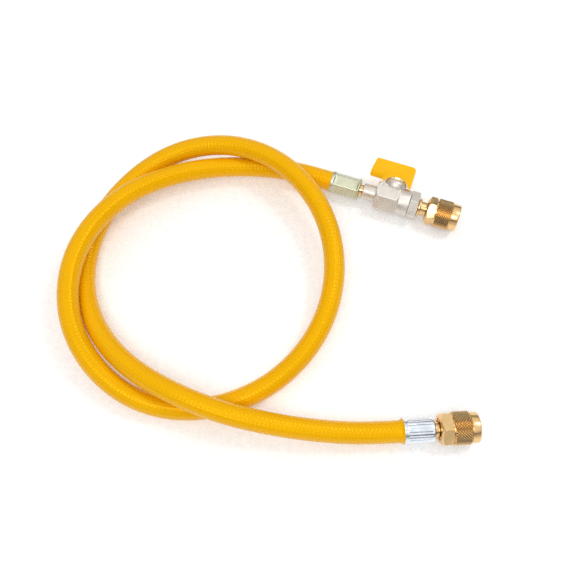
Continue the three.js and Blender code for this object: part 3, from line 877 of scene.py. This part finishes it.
class FerruleOperator(bpy.types.Operator):
    """Turn and crimp the two ferrules"""

    bl_idname = "charging_hose.ferrules"
    bl_label = "Ferrules"

    hose_hole = 5.9

    def execute(self, context):
        sizes = context.scene.hose_fittings
        self.crimp_ferrule(context, sizes)
        self.bright_ferrule(context, sizes)
        return {"FINISHED"}

    def crimp_ferrule(self, context, sizes):
        """The valve end's: a sleeve pressed to a hexagon along most of its length."""
        wall = sizes.ferrule_diameter / 2 / MM
        end = VALVE_FERRULE_END
        crimp_start, crimp_end, run = 1.5, end - 1.0, 0.9
        rows = [crimp_start + run * step / 5 for step in range(6)]
        middle = [4 + (end - 8) * step / 6 for step in range(7)]
        rows_out = [crimp_end - run + run * step / 5 for step in range(6)]
        neck = 3.8
        outline = softened([
            (1.2, neck),
            (1.2, self.hose_hole),
            (0, self.hose_hole, 0.1),
            (0, wall, 0.18),
            *((row, wall) for row in (*rows, *middle, *rows_out)),
            (end - 0.5, wall, 0.5),
            (end, wall - 1.1, 0.25),
            (end, neck),
            (1.2, neck),
        ])
        piece = turned("crimped_ferrule", outline, 120, hollow=True)
        flat = sizes.crimp_flats / 2 / MM
        corner_turn = math.radians(12.5)
        sixth = math.pi / 3

        def pressed(place, angle, radius):
            from_flat = (angle - corner_turn) % sixth - sixth / 2
            hexagon = flat / math.cos(from_flat)
            rounded = min(hexagon, wall - 0.04)
            press = ease((place - crimp_start) / run) * ease((crimp_end - place) / run)
            if radius < self.hose_hole:
                return radius
            return radius + (min(rounded, radius) - radius) * press

        reshape(piece, pressed)
        finish = made_once(
            "zinc_ferrule",
            plated_finish,
            "zinc_ferrule",
            context.scene.hose_finishes.zinc,
            "valve_nut_spin",
            0.4,
            1500.0,
        )
        settle(piece, VALVE_END, finish, "zinc_ferrule", "ferrule_valve_end", smooth=35)

    def bright_ferrule(self, context, sizes):
        """The free end's: a round sleeve with a rim, and narrow marks pressed along it."""
        wall = sizes.ferrule_diameter / 2 / MM
        rim = 6.5
        groove = 6.05
        neck = 4.2
        end = FREE_FERRULE_END
        mark_start, mark_end, run = 1.7, end - 1.2, 0.8
        rows = [mark_start + run * step / 4 for step in range(5)]
        rows_out = [mark_end - run + run * step / 4 for step in range(5)]
        outline = softened([
            (1.2, neck),
            (1.2, self.hose_hole),
            (0, self.hose_hole),
            (0, rim, 0.2),
            (0.8, rim, 0.2),
            (0.8, groove),
            (1.4, groove),
            (1.4, wall, 0.12),
            *((row, wall) for row in (*rows, *rows_out)),
            (end - 0.7, wall, 0.6),
            (end, wall - 1.1, 0.5),
            (end, neck),
            (1.2, neck),
        ])
        marks = 18
        mark_depth = 0.2
        piece = turned("bright_ferrule_sleeve", outline, 6 * marks, hollow=True)

        def pressed(place, angle, radius):
            wave = (angle / (2 * math.pi) * marks) % 1
            mark = max(0, 1 - abs(wave - 0.5) * 5)
            press = ease((place - mark_start) / run) * ease((mark_end - place) / run)
            if radius < self.hose_hole + 0.2:
                return radius
            return radius - mark_depth * mark * press

        reshape(piece, pressed)
        finish = made_once(
            "bright_ferrule",
            plated_finish,
            "bright_ferrule",
            context.scene.hose_finishes.bright_plate,
            "free_nut_spin",
            0.16,
            900.0,
        )
        settle(piece, FREE_END, finish, "bright_ferrule", "ferrule_free_end", smooth=35)


THREAD_BORE = 9.9
THREAD_MAJOR = 11.1
THREAD_DEPTH = 12.0
THREAD_PITCH = 25.4 / 20
NECK = 3.9
HEAD = THREAD_BORE / 2 - CLEARANCE
HEAD_THICKNESS = 1.5
GASKET_THICKNESS = 1.9
FLOW_BORE = 1.8


class SwivelNut:
    """The stations of a swivel nut from its rear face, and what lies in front of its head."""

    groove_length = 0.7
    knurl_length = 8.6
    front_groove = 0.3
    collar_length = 4.3
    collar = 7.9
    groove = 7.3

    def __init__(self, start, flats, hex_length, knurl_diameter, turn):
        self.start = start
        self.flats = flats
        self.turn = turn
        self.hex_length = hex_length
        self.corner = flats / math.sqrt(3)
        self.knurl = knurl_diameter / 2
        self.knurl_start = hex_length + self.groove_length
        self.knurl_end = self.knurl_start + self.knurl_length
        self.collar_start = self.knurl_end + self.front_groove
        self.length = self.collar_start + self.collar_length
        self.shoulder = self.length - THREAD_DEPTH
        self.head_start = start + self.shoulder + CLEARANCE
        self.gasket_start = self.head_start + HEAD_THICKNESS + CLEARANCE

    def head_outline(self):
        """The swivel head behind the nut's shoulder, from its neck to its front face."""
        end = self.head_start + HEAD_THICKNESS
        return [(self.head_start, NECK), (self.head_start, HEAD, 0.2), (end, HEAD, 0.3)]


VALVE_NUT = SwivelNut(VALVE_NUT_START, 14.3, 4.9, 16.8, 32)
FREE_NUT = SwivelNut(FREE_NUT_START, 15.6, 6.1, 17.3, 44)


def barbed_shank():
    """A hose tail's barbs, inside the ferrule."""
    shank, barb, pitch = 3.1, 3.6, 4.0
    points = [(1.0, shank)]
    for count in (1, 2, 3):
        crest = 1.0 + count * pitch
        points += [(crest, barb), (crest + 0.01, shank)]
    return points


class TailOperator(bpy.types.Operator):
    """Turn the brass tails, necks and heads that carry the hose and the nuts"""

    bl_idname = "charging_hose.tails"
    bl_label = "Tails and necks"

    def execute(self, context):
        scene = context.scene
        valve_neck = 3.5
        spigot = 3.0
        neck_start = VALVE_FERRULE_END - 2
        valve_tail = softened([
            *barbed_shank(),
            (neck_start, 3.1),
            (neck_start, valve_neck),
            (TUBE_START - CLEARANCE, valve_neck, 0.2),
            (TUBE_START - CLEARANCE, spigot),
            (TUBE_START + 5, spigot, 0.3),
        ])
        piece = ring("barbed_tail_valve_end", valve_tail, FLOW_BORE, 64)
        finish = brass(scene, "valve_nut_spin")
        settle(piece, VALVE_END, finish, "brass", "hose_tail_valve_end")

        neck_start = FREE_FERRULE_END - 2
        free_tail = softened([
            *barbed_shank(),
            (neck_start, 3.1),
            (neck_start, NECK),
            *FREE_NUT.head_outline(),
            (FREE_NUT.head_start + HEAD_THICKNESS, FLOW_BORE + 0.4),
        ])
        piece = ring("barbed_tail_free_end", free_tail, FLOW_BORE, 64)
        settle(piece, FREE_END, brass(scene, "free_nut_spin"), "brass", "hose_tail_free_end")

        collar = 5.3
        start = CAP_END + CLEARANCE
        swivel = softened([
            (CAP_END - 4.5, 3.2, 0.3),
            (start, 3.2),
            (start, collar, 0.45),
            (COLLAR_END, collar, 0.45),
            (COLLAR_END, NECK, 0.3),
            *VALVE_NUT.head_outline(),
            (VALVE_NUT.head_start + HEAD_THICKNESS, FLOW_BORE + 0.4),
        ])
        piece = ring("swivel_neck", swivel, FLOW_BORE)
        settle(piece, VALVE_END, finish, "brass", "swivel_stem_valve_end")
        return {"FINISHED"}


class BodyOperator(bpy.types.Operator):
    """Forge the valve's body with its tube, hexagon, round part and bonnet"""

    bl_idname = "charging_hose.valve_body"
    bl_label = "Valve body"

    def execute(self, context):
        sizes = context.scene.hose_fittings
        flats = sizes.body_flats / MM
        corner = flats / math.sqrt(3)
        round_part = flats / 2
        tube = 4.75
        end_round = 2.6
        envelope = turned("body_envelope", softened([
            (BODY_START, tube),
            (BODY_START, corner, end_round),
            (ROUND_START - 1.2, corner, 0.3),
            (ROUND_START, round_part, 0.2),
            (ROUND_START, tube),
        ], 8))
        body = hexagonal("forged_body", flats, BODY_START, ROUND_START, 0, 0.35)
        carve(body, envelope, "INTERSECT")
        core = turned("body_core", softened([
            (TUBE_START, tube - 1),
            (TUBE_START, tube, 0.5),
            (BODY_START - 0.02, tube, 0.3),
            (BODY_START + 1, round_part - 2),
            (ROUND_START - 2, round_part - 0.5),
            (ROUND_START - 1.9, round_part),
            (BODY_END, round_part, 0.25),
            (BODY_END, round_part - 2),
        ]))
        carve(body, core, "UNION")
        bonnet = turned("body_bonnet", softened([
            (0, 6.4),
            (9.3, 6.4, 0.3),
            (9.4, 6.2),
            (10.3, 5.9, 0.5),
            (11.2, 5.0, 0.8),
            (11.8, 4.1, 0.3),
            (11.8, 2),
        ]))
        bonnet.data.transform(STEM_ON_BENCH @ UPRIGHT)
        carve(body, bonnet, "UNION")
        carve(body, self.arched_recess(round_part), "DIFFERENCE")
        port = 2.0
        cavity = 5.3
        cavity_start = STEM_STATION - CAVITY_HALF
        waterway = turned("waterway", [
            (TUBE_START - OVERSHOOT, 3.3),
            (TUBE_START + 5.3, 3.3),
            (TUBE_START + 5.3, port),
            (cavity_start, port),
            (cavity_start, cavity),
            (BODY_END + OVERSHOOT, cavity),
        ], 64)
        carve(body, waterway, "DIFFERENCE")
        stem_hole = turned("stem_hole", [(0, 2.3), (12.5, 2.3)], 64)
        stem_hole.data.transform(STEM_ON_BENCH @ UPRIGHT)
        carve(body, stem_hole, "DIFFERENCE")
        finish = nickel(context.scene)
        settle(body, VALVE_END, finish, "nickel_plate", "valve_body", smooth=28)
        return {"FINISHED"}

    def arched_recess(self, flat_height):
        """A cutter for the shallow arched panel on the hexagon's upper flat."""
        depth = 0.3
        thickness = 2.0
        near, far = BODY_START + 2.2, ROUND_START - 2.4
        low_edge, high_edge = -3.6, 3.2
        sag = 0.77
        points = []
        arc_steps = 16
        for step in range(arc_steps + 1):
            share = step / arc_steps
            across = low_edge - sag * (1 - (2 * share - 1) ** 2)
            points.append((near + (far - near) * share, across))
        points += [(far, high_edge), (near, high_edge)]
        tool = plate("recess_tool", points, thickness)
        tool.data.transform(Matrix.Translation((0, 0, flat_height - depth + thickness / 2)))
        return tool


def plate(name, points, thickness):
    """A flat plate of some (x, y) outline, its thickness split evenly over and under z 0."""
    mesh = bpy.data.meshes.new(name)
    mesh.from_pydata([(x, y, -thickness / 2) for x, y in points], [], [range(len(points))])
    piece = bpy.data.objects.new(name, mesh)
    bpy.context.collection.objects.link(piece)
    edit(piece, "FACE")
    bpy.ops.mesh.select_all(action="SELECT")
    bpy.ops.mesh.extrude_region_move(TRANSFORM_OT_translate={"value": (0, 0, thickness)})
    bpy.ops.mesh.select_all(action="SELECT")
    bpy.ops.mesh.normals_make_consistent(inside=False)
    leave_edit()
    return piece


def block(name, length, width, low, high):
    """A block round the Z axis: length along X, width along Y, from low to high."""
    deselect()
    bpy.ops.mesh.primitive_cube_add(size=1)
    piece = bpy.context.active_object
    piece.name = name
    piece.data.transform(Matrix.Diagonal((length, width, high - low, 1)))
    piece.data.transform(Matrix.Translation((0, 0, (low + high) / 2)))
    return piece


class ValveInsideOperator(bpy.types.Operator):
    """Make the spindle and dress the ball and seats inside the valve"""

    bl_idname = "charging_hose.valve_inside"
    bl_label = "Spindle, ball and seats"

    def execute(self, context):
        scene = context.scene
        shaft = turned(
            "valve_spindle", softened([(3.7, 1.6), (3.7, 2.0), (18, 2.0, 0.3), (18, 1)]), 48
        )
        shaft.data.transform(UPRIGHT)
        overlap = 0.0005
        envelope, shank, drive = (
            block(name, 8, width, low - overlap, high + overlap)
            for name, width, low, high in (
                ("tang", 1.8, 3.0, TANG_TOP),
                ("shank", 6.0, TANG_TOP, DRIVE_START),
                ("drive", 2.4, DRIVE_START, 19.0),
            )
        )
        carve(envelope, shank, "UNION")
        carve(envelope, drive, "UNION")
        carve(shaft, envelope, "INTERSECT")
        finish = brass(scene, "valve_nut_spin")
        settle(shaft, STEM, finish, "brass", "valve_stem")
        seats = made_once("white_seat", plain_finish, "white_seat", (0.85, 0.85, 0.8), 0.45)
        ball = made_once(
            "plated_ball", plain_finish, "plated_ball", scene.hose_finishes.nickel, 0.15, 1.0
        )
        for name, finish in (
            ("valve_seat_hose_side", seats),
            ("valve_seat_nut_side", seats),
            ("valve_ball", ball),
        ):
            dressed = frame["nodes"][name]
            dressed.data.materials.clear()
            dressed.data.materials.append(finish)
        return {"FINISHED"}


class HandleOperator(bpy.types.Operator):
    """Mould the yellow blade with its arch over the bonnet"""

    bl_idname = "charging_hose.handle"
    bl_label = "Handle"

    top = 20.9
    long_wing = 16.1
    long_wing_top = 14.6
    short_wing = 8.9
    foot = 8.6
    wing_foot = 9.8
    wing_corner = 13.9
    arch_half = 7.4
    arch_top = 12.9
    arch_spring = 7.4
    leg = 1.1

    def outline(self):
        """The blade's outline, x along the valve and y along the stem, with its roundings."""
        rise = self.arch_top - self.arch_spring
        spring = math.asin((self.foot - self.arch_spring) / rise)
        arch_foot = self.arch_half * math.cos(spring)
        corners = [
            (arch_foot, self.foot),
            (self.short_wing, self.foot, 0.3),
            (self.short_wing, self.top, 2.2),
            (-self.long_wing_top, self.top, 1.3),
            (-self.long_wing, self.wing_corner, 1.5),
            (-self.long_wing, self.wing_foot, 0.9),
            (-arch_foot - self.leg, self.wing_foot, 0.4),
            (-arch_foot - self.leg / 2, self.foot, 0.2),
            (-arch_foot, self.foot),
        ]
        points = softened(corners, 8)
        steps = 32
        for step in range(1, steps):
            angle = math.pi - spring - (math.pi - 2 * spring) * step / steps
            across = self.arch_half * math.cos(angle)
            points.append((across, self.arch_spring + rise * math.sin(angle)))
        return points

    def execute(self, context):
        thickness = context.scene.hose_fittings.handle_thickness / MM
        blade = plate("blade_handle", self.outline(), thickness)
        carve(blade, self.wing_facet(thickness), "DIFFERENCE")
        rounding = blade.modifiers.new("edges", "BEVEL")
        rounding.width = 0.35
        rounding.segments = 3
        rounding.limit_method = "ANGLE"
        rounding.angle_limit = math.radians(40)
        pick(blade)
        bpy.ops.object.modifier_apply(modifier=rounding.name)
        stand = Matrix.Rotation(math.radians(90), 4, "X")
        blade.data.transform(stand)
        socket = block("drive_socket", 4.6, 3.0, DRIVE_START, 18.3)
        carve(blade, socket, "DIFFERENCE")
        finish = made_once(
            "handle_plastic", plastic_finish, context.scene.hose_finishes.handle_yellow
        )
        settle(blade, STEM, finish, "yellow_plastic", "handle", smooth=30)
        return {"FINISHED"}

    def wing_facet(self, thickness):
        """A wedge that cuts the broad bevel along the long wing's lower edge."""
        width, depth = 2.6, 1.0
        half = thickness / 2
        start = -self.long_wing - OVERSHOOT
        end = -self.arch_half - 1.2
        mesh = bpy.data.meshes.new("wing_facet")
        low, high = self.wing_foot - OVERSHOOT, self.wing_foot + width
        slope = depth / width
        section = [
            (low, half - depth - slope * OVERSHOOT),
            (high + OVERSHOOT, half + slope * OVERSHOOT),
            (low, half + OVERSHOOT),
        ]
        vertices = [(x, y, z) for x in (start, end) for y, z in section]
        faces = [(0, 1, 2), (5, 4, 3), (0, 3, 4, 1), (1, 4, 5, 2), (2, 5, 3, 0)]
        mesh.from_pydata(vertices, [], faces)
        tool = bpy.data.objects.new("wing_facet", mesh)
        bpy.context.collection.objects.link(tool)
        edit(tool, "FACE")
        bpy.ops.mesh.select_all(action="SELECT")
        bpy.ops.mesh.normals_make_consistent(inside=False)
        leave_edit()
        return tool


class CapOperator(bpy.types.Operator):
    """Make the hexagonal cap that closes the valve's body"""

    bl_idname = "charging_hose.cap"
    bl_label = "End cap"

    def execute(self, context):
        flats = context.scene.hose_fittings.cap_flats / MM
        corner = flats / math.sqrt(3)
        start = BODY_END + CLEARANCE
        cap = hexagonal("gland_cap", flats, start, CAP_END, 42.5, 0.12)
        envelope = turned("cap_envelope", softened([
            (start, 5),
            (start, corner, 0.2),
            (CAP_END - 0.6, corner + 0.1),
            (CAP_END, corner - 0.9),
            (CAP_END, 5),
        ]))
        carve(cap, envelope, "INTERSECT")
        spigot_start = STEM_STATION + CAVITY_HALF
        spigot = turned("cap_spigot", [(spigot_start, 5), (start + 1, 5)], 64)
        carve(cap, spigot, "UNION")
        thread_start = CAP_END - 4.8
        bore = turned("cap_bore", softened([
            (spigot_start - OVERSHOOT, 2),
            (thread_start, 2),
            (thread_start, 3.5),
            (CAP_END - 0.4, 3.5),
            (CAP_END + OVERSHOOT, 4.9),
        ]), 64)
        carve(cap, bore, "DIFFERENCE")
        finish = nickel(context.scene)
        settle(cap, VALVE_END, finish, "nickel_plate", "valve_end_cap", smooth=25)
        return {"FINISHED"}


class NutOperator(bpy.types.Operator):
    """Turn, knurl and thread the two swivel nuts"""

    bl_idname = "charging_hose.swivel_nuts"
    bl_label = "Swivel nuts"

    rows = 11
    edge = 0.35

    def execute(self, context):
        scene = context.scene
        for name, nut, place, node_name, joint_name in (
            ("knurled_nut_valve_end", VALVE_NUT, VALVE_END, "swivel_nut_valve_end",
             "valve_nut_spin"),
            ("knurled_nut_free_end", FREE_NUT, FREE_END, "swivel_nut_free_end",
             "free_nut_spin"),
        ):
            piece = self.swivel_nut(name, nut, scene.hose_fittings)
            piece.data.transform(Matrix.Translation((nut.start, 0, 0)))
            settle(piece, place, brass(scene, joint_name), "brass", node_name, smooth=24)
        return {"FINISHED"}

    def swivel_nut(self, name, nut, sizes):
        piece = hexagonal(name, nut.flats, 0, nut.hex_length, nut.turn, 0.12)
        envelope = turned("hexagon_envelope", softened([
            (0, 5),
            (0, nut.corner - 1.8, 0.3),
            (1.5, nut.corner, 0.3),
            (nut.hex_length - 0.6, nut.corner, 0.2),
            (nut.hex_length, nut.corner - 0.6),
            (nut.hex_length, 5),
        ]), 128)
        carve(piece, envelope, "INTERSECT")
        carve(piece, self.knurled_front(nut, sizes), "UNION")
        carve(piece, self.tap(nut), "DIFFERENCE")
        self.mark_painted_shade_depth(piece, nut, sizes.knurl_depth / MM)
        return piece

    def mark_painted_shade_depth(self, piece, nut, depth):
        """Keep how deep each vertex of the knurl lies, for painted shade in the brass there.
        """
        valley = piece.data.attributes.new("valley", "FLOAT", "POINT")
        for vertex, mark in zip(piece.data.vertices, valley.data):
            x, y, z = vertex.co
            sunk = (nut.knurl - math.hypot(y, z)) / depth
            if nut.knurl_start < x < nut.knurl_end and sunk < 1.1:
                mark.value = min(max(sunk, 0), 1)

    def knurled_front(self, nut, sizes):
        """The groove, the knurl with its diamonds, and the smooth front collar."""
        first = nut.knurl_start + self.edge
        pitch = (nut.knurl_end - self.edge - first) / self.rows
        knurl_rows = [(first + pitch * row, nut.knurl) for row in range(self.rows + 1)]
        valley = nut.knurl - sizes.knurl_depth / MM
        foot = valley - 0.1
        outline = softened([
            (nut.hex_length - 1, 6.4),
            (nut.hex_length - 0.5, min(nut.groove, nut.flats / 2 - 0.3)),
            (nut.hex_length + 0.05, nut.groove - 0.15),
            (nut.knurl_start, nut.groove - 0.15),
            (nut.knurl_start, foot),
            *knurl_rows,
            (nut.knurl_end, foot),
            (nut.knurl_end, nut.groove),
            (nut.collar_start, nut.groove),
            (nut.collar_start, nut.collar, 0.2),
            (nut.length, nut.collar, 0.8),
            (nut.length, 6.4),
        ], 5)
        columns = 2 * sizes.knurl_diamonds
        front = turned("knurled_front", outline, columns)
        edit(front)

        def in_valley(place):
            row = (place.x - first) / pitch
            turn = math.atan2(place.z, place.y) / (2 * math.pi) * columns
            if abs(row - round(row)) > 0.01 or not -0.5 < row < self.rows + 0.5:
                return False
            if abs(math.hypot(place.y, place.z) - nut.knurl) > 0.01:
                return False
            return (round(row) + round(turn)) % 2 == 1

        select_vertices(front, in_valley)
        inward = valley / nut.knurl
        bpy.ops.transform.resize(value=(1, inward, inward), center_override=(0, 0, 0))
        bpy.ops.mesh.vert_connect()
        leave_edit()
        return front

    def tap(self, nut):
        """The cutter of the nut's inside: recess, neck hole, thread and mouth."""
        neck_hole = NECK + CLEARANCE
        minor = THREAD_BORE / 2
        thread_start = nut.shoulder + 4.3
        thread_end = nut.length - 0.75
        steps = round((thread_end - thread_start) / THREAD_PITCH * 12)
        rows = [
            (thread_start + (thread_end - thread_start) * step / steps, minor)
            for step in range(steps + 1)
        ]
        recess = 5.6
        outline = softened([
            (-OVERSHOOT, recess),
            (1, recess, 0.2),
            (1 + recess - neck_hole, neck_hole),
            (nut.shoulder, neck_hole),
            (nut.shoulder, minor),
            *rows,
            (nut.length + OVERSHOOT, minor + 0.75 + OVERSHOOT),
        ])
        tool = turned("thread_tap", outline, ROUND_SIDES)
        depth = (THREAD_MAJOR - THREAD_BORE) / 2

        def threaded(place, angle, radius):
            if not thread_start - 0.01 <= place <= thread_end + 0.01:
                return radius
            phase = (place / THREAD_PITCH - angle / (2 * math.pi)) % 1
            crest = 1 - abs(2 * phase - 1)
            profile = min(max((crest - 0.15) / 0.7, 0), 1)
            run_out = ease((place - thread_start) / THREAD_PITCH)
            return radius + depth * profile * run_out

        reshape(tool, threaded)
        return tool


class GasketOperator(bpy.types.Operator):
    """Make the rubber gaskets and the core depressor in the nuts' mouths"""

    bl_idname = "charging_hose.gaskets"
    bl_label = "Gaskets and core depressor"

    def execute(self, context):
        scene = context.scene
        for name, nut, place, node_name in (
            ("flare_gasket_valve_end", VALVE_NUT, VALVE_END, "gasket_valve_end"),
            ("flare_gasket_free_end", FREE_NUT, FREE_END, "gasket_free_end"),
        ):
            start = nut.gasket_start
            end = start + GASKET_THICKNESS
            outline = softened([
                (start, 2.3, 0.2),
                (start, HEAD, 0.3),
                (end, HEAD, 0.5),
                (end, 2.3, 0.4),
            ])
            outline.append(outline[0])
            piece = turned(name, outline, 64, hollow=True)
            settle(piece, place, black_rubber(), "gasket_rubber", node_name)
        start = VALVE_NUT.gasket_start
        tip = start + GASKET_THICKNESS + 1.2
        shank = FLOW_BORE - CLEARANCE
        pin = turned("depressor_pin", softened([
            (start - 3, shank - 0.3),
            (start - 3, shank, 0.2),
            (start, shank, 0.1),
            (start, 0.8),
            (tip, 0.8, 0.3),
            (tip, 0.3),
        ]), 48)
        finish = brass(scene, "valve_nut_spin")
        settle(pin, VALVE_END, finish, "brass", "core_depressor")
        return {"FINISHED"}


class StageOperator(bpy.types.Operator):
    """Set the pale floor, the soft lights and the world round the part"""

    bl_idname = "charging_hose.stage"
    bl_label = "Floor and lights"

    drop = 0.0002  # keeps the floor's surface just under the lowest pieces

    def execute(self, context):
        scene = context.scene
        stage = scene.hose_stage
        deselect()
        bpy.ops.mesh.primitive_plane_add(size=6)
        floor = context.active_object
        floor.name = "floor"
        floor.data.transform(Matrix.Translation((0, 0, -self.drop)))
        white = plain_finish("floor_white", (stage.floor_white,) * 3, 0.7, relief=0.0)
        glow = white.node_tree.nodes["Principled BSDF"].inputs
        glow["Emission Color"].default_value = (1, 1, 1, 1)
        glow["Emission Strength"].default_value = 0.2
        floor.data.materials.append(white)
        self.soft_light("over_the_camera", (-0.2, -0.4, 0.9), 0.42, stage.key_power)
        self.soft_light("right_hand", (0.4, 0.2, 0.85), 0.18, stage.key_power * 0.6)
        self.world(scene)
        scene.view_settings.view_transform = "Standard"
        # The denoiser wipes out the knurl and the hose's grain, which are two pixels wide
        scene.cycles.use_denoising = False
        return {"FINISHED"}

    def soft_light(self, name, place, size, power):
        deselect()
        target = Vector((-0.064, 0.0, 0.01))
        aim = (target - Vector(place)).to_track_quat("-Z", "Y").to_euler()
        bpy.ops.object.light_add(type="AREA", location=place, rotation=aim)
        light = bpy.context.active_object
        light.name = name
        light.data.size = size
        light.data.energy = power

    def world(self, scene):
        """A pale studio, with a darker band some way over the horizon."""
        world = bpy.data.worlds.new("studio")
        world.use_nodes = True
        tree = world.node_tree
        background = tree.nodes["Background"]
        place = tree.nodes.new("ShaderNodeTexCoord")
        parts = node(tree, "ShaderNodeSeparateXYZ", {"Vector": place.outputs["Generated"]})
        leaning = node(
            tree,
            "ShaderNodeMath",
            {0: parts.outputs["Y"], 1: 0.2, 2: parts.outputs["Z"]},
            operation="MULTIPLY_ADD",
        )
        ramp = node(tree, "ShaderNodeValToRGB", {"Fac": leaning.outputs[0]})
        shades = ((0.0, 0.7), (0.14, 0.65), (0.26, 0.14), (0.44, 0.2), (0.6, 0.85), (1.0, 1.0))
        stops = ramp.color_ramp.elements
        while len(stops) < len(shades):
            stops.new(0.5)
        for stop, (height, shade) in zip(stops, shades):
            stop.position = height
            stop.color = (shade, shade, shade * 1.01, 1)
        tree.links.new(ramp.outputs["Color"], background.inputs["Color"])
        background.inputs["Strength"].default_value = 1.0
        scene.world = world


OPERATORS = (
    CameraOperator,
    HoseOperator,
    FerruleOperator,
    TailOperator,
    BodyOperator,
    ValveInsideOperator,
    HandleOperator,
    CapOperator,
    NutOperator,
    GasketOperator,
    StageOperator,
)
SETTINGS = {
    "hose_sizes": HoseSettings,
    "hose_fittings": FittingSettings,
    "hose_finishes": FinishSettings,
    "hose_stage": StageSettings,
}


class ChargingHosePanel(bpy.types.Panel):
    """The charging hose's settings and steps"""

    bl_idname = "VIEW3D_PT_charging_hose"
    bl_label = "Charging hose"
    bl_space_type = "VIEW_3D"
    bl_region_type = "UI"
    bl_category = "Charging hose"

    def draw(self, context):
        for group_name, settings in SETTINGS.items():
            box = self.layout.box()
            group = getattr(context.scene, group_name)
            for name in settings.__annotations__:
                box.prop(group, name)
        for step in OPERATORS:
            self.layout.operator(step.bl_idname)


def register():
    for settings in SETTINGS.values():
        bpy.utils.register_class(settings)
    for step in OPERATORS:
        bpy.utils.register_class(step)
    bpy.utils.register_class(ChargingHosePanel)
    for name, settings in SETTINGS.items():
        setattr(bpy.types.Scene, name, PointerProperty(type=settings))


def unregister():
    for name in SETTINGS:
        delattr(bpy.types.Scene, name)
    bpy.utils.unregister_class(ChargingHosePanel)
    for step in reversed(OPERATORS):
        bpy.utils.unregister_class(step)
    for settings in SETTINGS.values():
        bpy.utils.unregister_class(settings)


def main():
    register()
    for step in OPERATORS:
        group, name = step.bl_idname.split(".")
        getattr(getattr(bpy.ops, group), name)()


if __name__ == "__main__":
    main()
